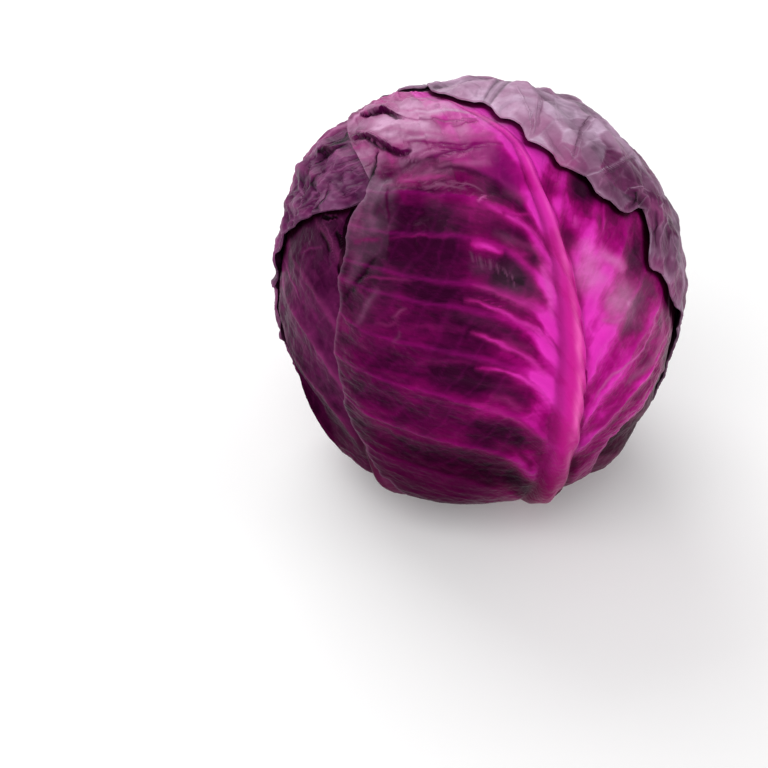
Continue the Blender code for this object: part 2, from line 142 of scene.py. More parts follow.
# Each leaf from the inside out: its chart, its margin as (longitude, rise), its veins, how rumpled
# it is, and its mesh. A trace is the stretch of margin that the photo shows, as (bearing, reach).
LEAVES = [
    {
        "name": "leaf_back",
        "longitude": 118.0,
        "rise": 85.0,
        "margin": [
            (118, 146), (82, 138), (62, 112), (57, 82), (64, 52), (78, 28), (86, 14.2),
            (118, 14.2), (150, 14.2), (158, 32), (168, 58), (176, 88), (168, 118), (148, 139),
        ],
        "veins_left": (-30, -12, 6, 22, 38, 54),
        "veins_right": (-30, -12, 6, 22, 38, 54),
        "rib_height": 0.0050,
        "wave": 1.2,
        "waves": 13,
        "grid": (18, 20),
        "rumple": 0.5,
        "facets": 0.3,
    },
    {
        "name": "leaf_left",
        "longitude": -125.0,
        "rise": 88.0,
        "margin": [
            (-125, 150), (-100, 142), (-76, 118), (-70, 90), (-78, 60), (-90, 35), (-96, 14.2),
            (-125, 14.2), (-157, 14.2), (-168, 36), (-188, 60), (-197, 90), (-194, 115), (-176, 138),
            (-150, 149),
        ],
        "veins_left": (-28, -8, 9, 22, 38, 54),
        "veins_right": (-28, -10, 6, 22, 38, 54),
        "rib_height": 0.0050,
        "wave": 1.2,
        "waves": 15,
        "grid": (20, 24),
        "rumple": 0.35,
        "facets": 0.15,
    },
    {
        "name": "leaf_right",
        "longitude": 8.0,
        "rise": 84.0,
        "margin": [
            (8, 144), (-34, 136), (-58, 114), (-66, 90), (-69, 62), (-60, 38), (-26, 14.2),
            (8, 14.2), (42, 14.2), (60, 36), (72, 60), (78, 88), (70, 114), (46, 136),
        ],
        "veins_left": (-34, -20, -7, 6, 22, 38, 54),
        "veins_right": (-28, -10, 6, 22, 38, 54),
        "rib_height": 0.0050,
        "wave": 1.2,
        "waves": 14,
        "grid": (20, 24),
        "rumple": 0.4,
        "facets": 0.2,
    },
    {
        "name": "leaf_upper_left",
        "longitude": 158.0,
        "rise": 100.0,
        "margin": [
            (158, 164), (-170, 162), (-140, 152), (-136, 141), (-146, 133), (-154, 129),
            (-162, 122), (-166, 117), (-173, 111), (178, 102), (175, 88), (174, 66), (180, 40),
            (194, 14.2), (158, 14.2), (122, 14.2), (114, 36), (108, 60), (104, 90), (100, 118),
            (96, 140), (112, 158),
        ],
        "veins_left": (-30, -14, 2, 17, 31, 44, 56),
        "veins_right": (-20, -4, 10, 22, 33, 44, 56),
        "rib_height": 0.0058,
        "wave": 1.4,
        "waves": 19,
        "trace": [
            (70.1, 21.7), (63.8, 25.8), (59.2, 29.7), (55.1, 33.9), (52.7, 38.5), (50.6, 40.6),
            (48.9, 43.7), (48.2, 48.4), (47.3, 52.7), (45.8, 55.3), (44.1, 57.1),
        ],
        "grid": (20, 26),
        "rumple": 1.0,
        "facets": 0.5,
        "panes": (5.5, 0.00026),
    },
    {
        "name": "leaf_front",
        "longitude": -64.0,
        "rise": 80.0,
        "margin": [
            (122, 146), (100, 155), (40, 163), (0, 158), (-8, 142), (-16, 126), (-22, 110), (-27, 100),
            (-30, 90), (-32, 78), (-36, 72), (-43, 70), (-50, 67), (-52, 60), (-51, 48),
            (-43, 32), (-32, 14.2), (-64, 14.2), (-98, 14.2), (-110, 34), (-122, 54), (-130, 74),
            (-134, 92), (-135, 105), (-138, 115), (-140, 122), (-144, 129), (-146, 134),
            (-148, 142), (-162, 146), (-180, 145), (169, 139), (155, 137), (145, 137), (133, 140),
        ],
        "veins_left": (-20, -5, 10.5, 25, 37.5, 44.5, 56.5, 69, 81),
        "veins_right": (-19, -5, 9.5, 23, 37, 51, 65, 78),
        "rib_height": 0.0052,
        "wave": 0.8,
        "waves": 17,
        "bends": (
            (-66, -40, -25, 0, 15, 30, 45, 58, 70, 83, 94, 104, 110, 125),
            (-0.5, -2.8, -3.6, -4.4, -3.8, -3.0, -1.6, -1.2, -1.2, 1.3, -2.2, -9.0, -12.0, -19.0),
        ),
        "trace": [
            (-28.2, 135.6), (-31.0, 132.0), (-34.0, 127.0), (-36.4, 120.5), (-37.0, 115.0), (-37.3, 108.0),
            (-37.6, 101.0), (-38.0, 95.5), (-38.7, 92.6), (-41.4, 90.3), (-44.6, 89.9), (-47.3, 89.2),
            (-50.7, 87.9), (-53.5, 86.3), (-55.7, 84.1), (-58.6, 82.6), (-61.7, 81.4), (-64.0, 80.5),
            (-65.8, 77.6), (-67.9, 75.9), (-71.8, 75.2),
        ],
        "grid": (32, 40),
        "rumple": 0.35,
        "facets": 0.15,
        "flare": 0.0003,
        "panes": (6.5, 0.00016),
    },
    {
        "name": "leaf_cap",
        "longitude": 73.0,
        "rise": 100.0,
        "margin": [
            (-179, 177), (-100, 176), (-66, 170), (-56, 163), (-52, 156), (-44, 149), (-39, 143),
            (-36, 135), (-33, 130), (-24, 127), (-30, 122), (-35, 115), (-30, 110), (-28, 103),
            (-28, 94), (-27, 84), (-22, 70), (-8, 52), (14, 33), (36, 14.2), (73, 14.2),
            (108, 14.2), (120, 36), (130, 60), (136, 85), (136, 110), (130, 135), (124, 150),
            (140, 162),
        ],
        "veins_left": (-28, -12, 4, 19, 33, 47, 60, 74),
        "veins_right": (-28, -12, 4, 19, 33, 47, 60),
        "rib_height": 0.0060,
        "wave": 0.0,
        "waves": 25,
        "teeth": (
            -172, -163, -155, -146, -138, -129, -121, -113, -105, -98, -91, -84, -76.4, -67.6,
            -56, -47.8, -41.6, -37.9, -29.8, -24.7, -14.1, -4.3, 6, 14, 24.6, 33, 41, 50, 59, 68,
            77, 87, 97, 107, 117, 128, 139, 150, 161, 172,
        ),
        "tooth": 1.7,
        "trace": [
            (24.6, 61.6), (17.6, 71.8), (14.4, 75.0), (10.6, 76.1), (8.0, 77.8), (2.7, 77.7), (1.1, 77.2),
            (-1.4, 79.5), (-3.5, 83.1), (-4.8, 84.3), (-7.5, 83.8), (-9.2, 84.1), (-11.2, 85.5),
            (-12.8, 87.6), (-13.7, 90.5), (-14.6, 91.3), (-17.0, 90.8), (-20.2, 91.1), (-22.1, 91.9),
            (-23.5, 94.1), (-24.9, 95.0), (-27.7, 93.5), (-31.5, 94.1), (-32.7, 94.0), (-34.2, 94.8),
            (-35.8, 96.6), (-37.5, 97.4), (-39.4, 97.7), (-41.6, 96.1), (-43.0, 97.2), (-44.8, 97.0),
            (-47.4, 95.7), (-49.0, 91.0), (-51.0, 89.5), (-53.9, 91.2), (-56.4, 96.5), (-60.1, 100.9),
            (-62.1, 101.8), (-64.2, 100.0), (-66.5, 98.8), (-70.0, 98.3), (-73.5, 99.1), (-78.1, 98.2),
            (-81.5, 95.6), (-85.0, 93.6), (-90.0, 92.0), (-96.0, 91.0), (-102.0, 91.5), (-108.0, 92.5),
        ],
        "grid": (32, 40),
        "rumple": 0.25,
        "facets": 0.30,
        "panes": (8.5, 0.00013),
    },
]


def step(x):
    """Rises smoothly from 0 to 1 as x does, and stays level outside."""
    x = np.clip(x, 0.0, 1.0)
    return x * x * (3.0 - 2.0 * x)


def direction(longitude, rise):
    """The unit vector from the middle of the head to a place on it."""
    turn, tilt = np.radians(longitude), np.radians(rise)
    side = np.sin(tilt)
    return np.stack([side * np.cos(turn), side * np.sin(turn), -np.cos(tilt) + 0 * turn], axis=-1)


def rise_of(dirs):
    return np.degrees(np.arccos(np.clip(-dirs[..., 2], -1.0, 1.0)))


def longitude_of(dirs):
    return np.degrees(np.arctan2(dirs[..., 1], dirs[..., 0]))


def chart_axes(leaf):
    """The middle of the leaf, the way up to its tip, and the way to its right seen from outside."""
    turn, tilt = math.radians(leaf["longitude"]), math.radians(leaf["rise"])
    middle = direction(leaf["longitude"], leaf["rise"])
    up = np.array([math.cos(tilt) * math.cos(turn), math.cos(tilt) * math.sin(turn), math.sin(tilt)])
    return middle, up, np.cross(up, middle)


def to_chart(leaf, dirs):
    """(bearing from the tip, reach from the middle) of places on the head, in degrees."""
    middle, up, right = chart_axes(leaf)
    reach = np.degrees(np.arccos(np.clip(dirs @ middle, -1.0, 1.0)))
    return np.degrees(np.arctan2(dirs @ right, dirs @ up)), reach


def from_chart(leaf, bearing, reach):
    middle, up, right = chart_axes(leaf)
    bearing, reach = np.radians(bearing)[..., None], np.radians(reach)[..., None]
    return middle * np.cos(reach) + (right * np.sin(bearing) + up * np.cos(bearing)) * np.sin(reach)


def across_and_along(leaf, dirs):
    """Degrees to the right of the midrib, and degrees from the leaf's middle towards its tip."""
    bearing, reach = to_chart(leaf, dirs)
    return reach * np.sin(np.radians(bearing)), reach * np.cos(np.radians(bearing))


def spot(dirs, longitude, rise, width):
    """A soft round spot, 1 in its middle, this many degrees wide to each side."""
    away = np.degrees(np.arccos(np.clip(dirs @ direction(longitude, rise), -1.0, 1.0)))
    return np.exp(-((away / width) ** 2))


def spots(dirs, table):
    """The sum of spots, each given as (longitude, rise, width, size)."""
    return sum(size * spot(dirs, longitude, rise, width) for longitude, rise, width, size in table)


# Steady noise


def lattice(cell, seed):
    """A number from -1 to 1 for each cell of a cubic grid, always the same."""
    x, y, z = cell[..., 0], cell[..., 1], cell[..., 2]
    n = (x * 73856093) ^ (y * 19349663) ^ (z * 83492791) ^ (seed * 40503)
    n = ((n ^ (n >> 13)) * 1274126177) & 0x7FFFFFFF
    n = (n ^ (n >> 11)) & 0xFFFF
    return n / 32767.5 - 1.0


def noise(points, seed=0):
    """Smooth noise from -1 to 1 with bumps about one unit apart."""
    base = np.floor(points)
    part = points - base
    part = part * part * part * (part * (part * 6.0 - 15.0) + 10.0)
    base = base.astype(np.int64)
    total = 0.0
    for corner in range(8):
        bits = np.array([corner & 1, (corner >> 1) & 1, corner >> 2])
        share = np.where(bits == 1, part, 1.0 - part).prod(axis=-1)
        total = total + share * lattice(base + bits, seed)
    return total


def layered(points, seed, layers=3):
    """Noise with finer and weaker noise over it."""
    total, size, scale = 0.0, 1.0, 1.0
    for layer in range(layers):
        total = total + size * noise(points * scale, seed + 17 * layer)
        size, scale = size / 2.0, scale * 2.03
    return total


# Margins


def smoothed(table, width):
    offsets = np.arange(-120, 121)
    weights = np.exp(-((offsets * 360.0 / MARGIN_SAMPLES / width) ** 2))
    return sum(w * np.roll(table, k) for k, w in zip(offsets, weights)) / weights.sum()


def teeth_of(leaf, every):
    """Sharp teeth that point outwards, with hollow arcs between them."""
    marks = np.array(leaf["teeth"], float)
    count = np.interp(every, marks, np.arange(len(marks)))
    arc = np.abs(np.sin(np.pi * count))
    size = 0.75 + 0.25 * np.cos(2.399 * np.round(count))
    return leaf["tooth"] * size * (0.62 - arc)


def margin_table(leaf):
    """How far the leaf reaches at each bearing, with its waves and without."""
    corners = np.array(leaf["margin"], float)
    bearing, reach = to_chart(leaf, direction(corners[:, 0], corners[:, 1]))
    every = np.arange(MARGIN_SAMPLES) * 360.0 / MARGIN_SAMPLES - 180.0
    free = step((150.0 - np.abs(every)) / 30.0)
    if "trace" in leaf:
        traced = np.array(leaf["trace"])
        beyond = (bearing > traced[0, 0] + 2.0) | (bearing < traced[-1, 0] - 2.0)
        bearing = np.concatenate([bearing[beyond], traced[:, 0]])
        reach = np.concatenate([reach[beyond], traced[:, 1]])
        middle = (traced[0, 0] + traced[-1, 0]) / 2.0
        half = (traced[0, 0] - traced[-1, 0]) / 2.0
        free = free * step((np.abs(every - middle) - half) / 8.0)
    order = np.argsort(bearing)
    table = np.interp(every, bearing[order], reach[order], period=360.0)
    waves = leaf["wave"] * np.sin(np.radians(every) * leaf["waves"])
    for turns, size in ((41, 0.22), (67, 0.16), (103, 0.10), (149, 0.06)):
        waves = waves + size * np.sin(np.radians(every) * turns + turns * leaf["longitude"])
    if "teeth" in leaf:
        waves = waves + teeth_of(leaf, every)
    outline = smoothed(table, MARGIN_SMOOTHING) + free * waves
    return every, outline, smoothed(table, GRID_SMOOTHING), spread_bearings(smoothed(outline, 1.5))


def spread_bearings(outline):
    """Where on a square's rim each bearing falls: by length along the margin, corners by the stem."""
    ahead = np.roll(outline, -1)
    run = np.hypot(ahead - outline, np.radians(360.0 / MARGIN_SAMPLES) * outline)
    half = MARGIN_SAMPLES // 2
    along = []
    for side in (run[:half][::-1], run[half:]):
        share = EVEN_SHARE / half + (1.0 - EVEN_SHARE) * side / side.sum()
        share = np.concatenate([[0.0], np.cumsum(share)])
        along.append(np.interp(share, [0.0, UPPER_CORNER, LOWER_CORNER, 1.0], [0, 45, 135, 180]))
    return np.concatenate([-along[0][:0:-1], along[1][:-1]])


def reach_at(leaf, bearing):
    return np.interp(bearing, leaf["table"][0], leaf["table"][1], period=360.0)


def depth_inside(leaf, dirs):
    """Degrees from the leaf's margin, positive on the leaf and negative off it."""
    every, table = leaf["table"][:2]
    outline = from_chart(leaf, every[::2], table[::2]).astype(np.float32).T
    small = dirs.astype(np.float32)
    near = np.concatenate([(part @ outline).max(axis=-1) for part in np.array_split(small, 16)])
    near = np.degrees(np.arccos(np.clip(near.astype(float), -1.0, 1.0)))
    bearing, reach = to_chart(leaf, dirs)
    return np.where(reach < reach_at(leaf, bearing), near, -near)


# Shape


def rib(leaf, dirs, spread):
    """The height of the midrib, which tapers from the stem to the tip, with its foot spread out."""
    across, along = across_and_along(leaf, dirs)
    above_widest = along + leaf["rise"] - WIDEST_RISE
    to_base = np.clip((RIB_START - above_widest) / RIB_LENGTH, 0.0, 1.0)
    half = (RIB_HALF_AT_TIP + RIB_HALF_GROWTH * to_base) * spread
    shape = np.clip(1.0 - (across / half) ** 2, 0.0, None) ** 2
    return shape * (RIB_HEIGHT_AT_TIP + leaf["rib_height"] * to_base**1.3)


def rib_line(leaf, dirs):
    """(degrees right of the midrib's middle line, its half width, its height) with its gentle bends."""
    across, along = across_and_along(leaf, dirs)
    across = across - np.interp(along, *leaf.get("bends", ([0.0], [0.0])))
    above_widest = along + leaf["rise"] - WIDEST_RISE
    to_base = np.clip((RIB_START + 25.0 - above_widest) / (RIB_LENGTH + 25.0), 0.0, 1.0)
    half = RIB_HALF_AT_TIP * 0.75 + RIB_HALF_GROWTH * 0.66 * to_base
    to_base = np.clip((RIB_START - above_widest) / RIB_LENGTH, 0.0, 1.0)
    return across, half, RIB_HEIGHT_AT_TIP + leaf["rib_height"] * to_base**1.3


def midrib(near_rib, high):
    """A round rib with a slight groove along each side of its foot."""
    body = np.clip(1.0 - near_rib**2, 0.0, None) ** 0.8
    grooves = np.exp(-(((np.abs(near_rib) - 1.18) / 0.22) ** 2))
    return high * (body - 0.16 * grooves)


def fleshy(leaf, dirs):
    """The thick base of the leaf, round the stem."""
    across, _ = across_and_along(leaf, dirs)
    low = step(1.0 - (rise_of(dirs) - LEAF_START) / FLESHY_RISE)
    return FLESHY_EXTRA * low * np.exp(-((across / FLESHY_SIDE) ** 2))


def blade_thickness(leaf, dirs, inside):
    thin = BLADE_AT_MARGIN + (BLADE - BLADE_AT_MARGIN) * step(inside / MARGIN_THINNING)
    return thin + fleshy(leaf, dirs)


def drape_over(leaf, dirs):
    """How far the leaf lifts whatever lies on it."""
    inside = depth_inside(leaf, dirs)
    on = step((inside + MARGIN_CLEAR + DRAPE) / DRAPE)
    return on * (BLADE + GAP + COVERED_RIB * rib(leaf, dirs, 2.0) + fleshy(leaf, dirs))


def exposed(index, dirs):
    """(1 where no leaf lies over this one and 0 under the margin of one, the shade beside margins)"""
    shown, shade = np.ones(dirs.shape[:-1]), np.zeros(dirs.shape[:-1])
    for upper in LEAVES[index + 1 :]:
        inside = depth_inside(upper, dirs)
        shown = shown * (1.0 - step(1.0 + inside / EXPOSED_FADE))
        wide = SHADE_WIDTH.get(upper["name"], 0.5)
        close = np.exp(-((np.maximum(-inside, 0.0) / wide) ** 2))
        shade = np.maximum(shade, 0.85 * close + 0.35 * np.exp(-np.maximum(-inside, 0.0) / (3.0 * wide)))
    return shown, shade


def inner_radius(dirs):
    """The inner head is a ball with a full shoulder low down, hollowed round the stem."""
    rise = rise_of(dirs)
    radius = INNER_RADIUS - HOLLOW_DEPTH * step(1.0 - rise / HOLLOW_RISE)
    radius = radius + SHOULDER * np.exp(-(((rise - SHOULDER_RISE) / SHOULDER_WIDTH) ** 2))
    return radius + spots(dirs, SWELLINGS)


def crowding(dirs, radius):
    """The leaves press together where they meet at the stem."""
    low = step((CROWDED_FROM_RISE - rise_of(dirs)) / (CROWDED_FROM_RISE - LEAF_START))
    ground = inner_radius(dirs) + GAP
    return ground + (radius - ground) * (1.0 - CROWDING * low)


def veins(leaf, dirs):
    """(broad swell, sharp line) of the side veins. They leave the midrib steeply, then level out."""
    across, along = across_and_along(leaf, dirs)
    across = across + 0.9 * noise(dirs * 5.0, 11)
    along = along + 1.1 * noise(dirs * 4.0, 12) + 0.35 * noise(dirs * 13.0, 13)
    away = np.abs(across)
    bend = np.exp(-away / VEIN_BEND)
    on_left = along + VEIN_DROP_LEFT * bend
    on_right = along - VEIN_SLANT_RIGHT * across + VEIN_DROP_RIGHT * bend
    found = []
    for track, marks, slope in (
        (on_left, leaf["veins_left"], VEIN_DROP_LEFT / VEIN_BEND * bend),
        (on_right, leaf["veins_right"], VEIN_SLANT_RIGHT + VEIN_DROP_RIGHT / VEIN_BEND * bend),
    ):
        marks = np.array(marks, float)
        count = np.interp(track, marks, np.arange(len(marks)))
        gaps = np.diff(marks)
        gap = gaps[np.clip(count.astype(int), 0, len(gaps) - 1)]
        offset = (count - np.round(count)) * gap / np.sqrt(1.0 + slope**2)
        found.append((count, offset))
    count = np.where(across < 0.0, found[0][0], found[1][0])
    offset = np.where(across < 0.0, found[0][1], found[1][1])
    half = 0.42 + 0.95 * np.exp(-away / 26.0)
    line = np.exp(-((offset / half) ** 2)) * (0.25 + 0.75 * np.exp(-away / 34.0))
    return 0.5 + 0.5 * np.cos(2.0 * np.pi * count), line, count


def branchlets(leaf, dirs):
    """Fine veins that fork from the side veins and run slantwise between them."""
    across, along = across_and_along(leaf, dirs)
    bent = 2.2 * noise(dirs * 7.0, 21) + 1.0 * noise(dirs * 17.0, 22)
    track = (0.55 * along + 0.9 * np.abs(across) + bent) / 5.6
    fine = np.abs(track - np.round(track)) * 5.6
    other = (0.9 * along - 0.5 * np.abs(across) + bent) / 4.7
    finer = np.abs(other - np.round(other)) * 4.7
    return np.maximum(np.exp(-((fine / 0.5) ** 2)), 0.6 * np.exp(-((finer / 0.45) ** 2)))


def facets(leaf, dirs):
    """Flat panes that meet in soft creases, like paper that has been crushed and opened."""
    warped = dirs + 0.10 * np.stack([noise(dirs * 3.5, 31), noise(dirs * 3.5, 32), noise(dirs * 3.5, 33)], -1)
    total = 0.0
    for k in range(6):
        turn = 2.399 * k + math.radians(leaf["longitude"])
        lift = -0.8 + 0.32 * k
        way = np.array([math.cos(turn) * math.cos(lift), math.sin(turn) * math.cos(lift), math.sin(lift)])
        phase = warped @ way * (5.2 + 1.3 * k) + 0.37 * k
        total = total + np.abs(2.0 * (phase - np.floor(phase + 0.5))) / (1.0 + 0.25 * k)
    return (total - 1.9) / 2.0


def panes(leaf, dirs, size):
    """(rise in degrees of slope, tone from -1 to 1, crease) of flat panes about this many degrees wide."""
    across, along = across_and_along(leaf, dirs)
    across = across + 0.12 * size * noise(dirs * 9.0, 74)
    along = along + 0.12 * size * noise(dirs * 9.0, 75)
    x, y = across / size, along / (1.25 * size)
    base = np.stack([np.floor(x), np.floor(y), np.zeros(len(x))], axis=-1).astype(np.int64)
    near = []
    for dx in (-1, 0, 1):
        for dy in (-1, 0, 1):
            cell = base + np.array([dx, dy, int(leaf["longitude"]) + 500])
            ox = x - cell[:, 0] - 0.5 - 0.42 * lattice(cell, 76)
            oy = y - cell[:, 1] - 0.5 - 0.42 * lattice(cell, 77)
            slope = ox * lattice(cell, 78) + oy * lattice(cell, 79)
            near.append((np.hypot(ox, oy), slope, lattice(cell, 80)))
    far, slope, tone = (np.stack(part) for part in zip(*near))
    weight = np.exp(-((far**2 - far.min(axis=0) ** 2) / 0.045))
    weight = weight / weight.sum(axis=0)
    two = np.sort(far, axis=0)[:2]
    crease = np.exp(-(((two[1] - two[0]) * size / 0.55) ** 2))
    return (weight * slope).sum(axis=0) * size, (weight * tone).sum(axis=0), crease


def rumples(leaf, dirs):
    """Wrinkles drawn out along the leaf's side veins."""
    across, along = across_and_along(leaf, dirs)
    plane = np.stack([across / 9.0, along / 3.6, 0.0 * across], axis=-1)
    plane = plane + 0.35 * np.stack([noise(dirs * 8.0, 41), noise(dirs * 8.0, 42), 0.0 * across], -1)
    broad = 1.0 - 2.0 * np.abs(noise(plane, 43 + int(leaf["longitude"])))
    fine = 1.0 - 2.0 * np.abs(noise(plane * 2.3, 57))
    return 0.65 * broad + 0.35 * fine


def line_distance(points, line):
    """(signed degrees from a chart line, positive on its left going along it, and the share run)"""
    line = np.array(line, float)
    runs = np.concatenate([[0.0], np.cumsum(np.hypot(*np.diff(line, axis=0).T))])
    best = np.full(len(points), 1e9)
    side = np.zeros(len(points))
    share = np.zeros(len(points))
    for k in range(len(line) - 1):
        along = line[k + 1] - line[k]
        long = np.hypot(*along)
        offset = points - line[k]
        t = np.clip(offset @ along / long**2, 0.0, 1.0)
        gap = offset - t[:, None] * along
        far = np.hypot(*gap.T)
        nearer = far < best
        cross = along[0] * offset[:, 1] - along[1] * offset[:, 0]
        best = np.where(nearer, far, best)
        side = np.where(nearer, np.sign(cross), side)
        share = np.where(nearer, (runs[k] + t * long) / runs[-1], share)
    return best * side, share


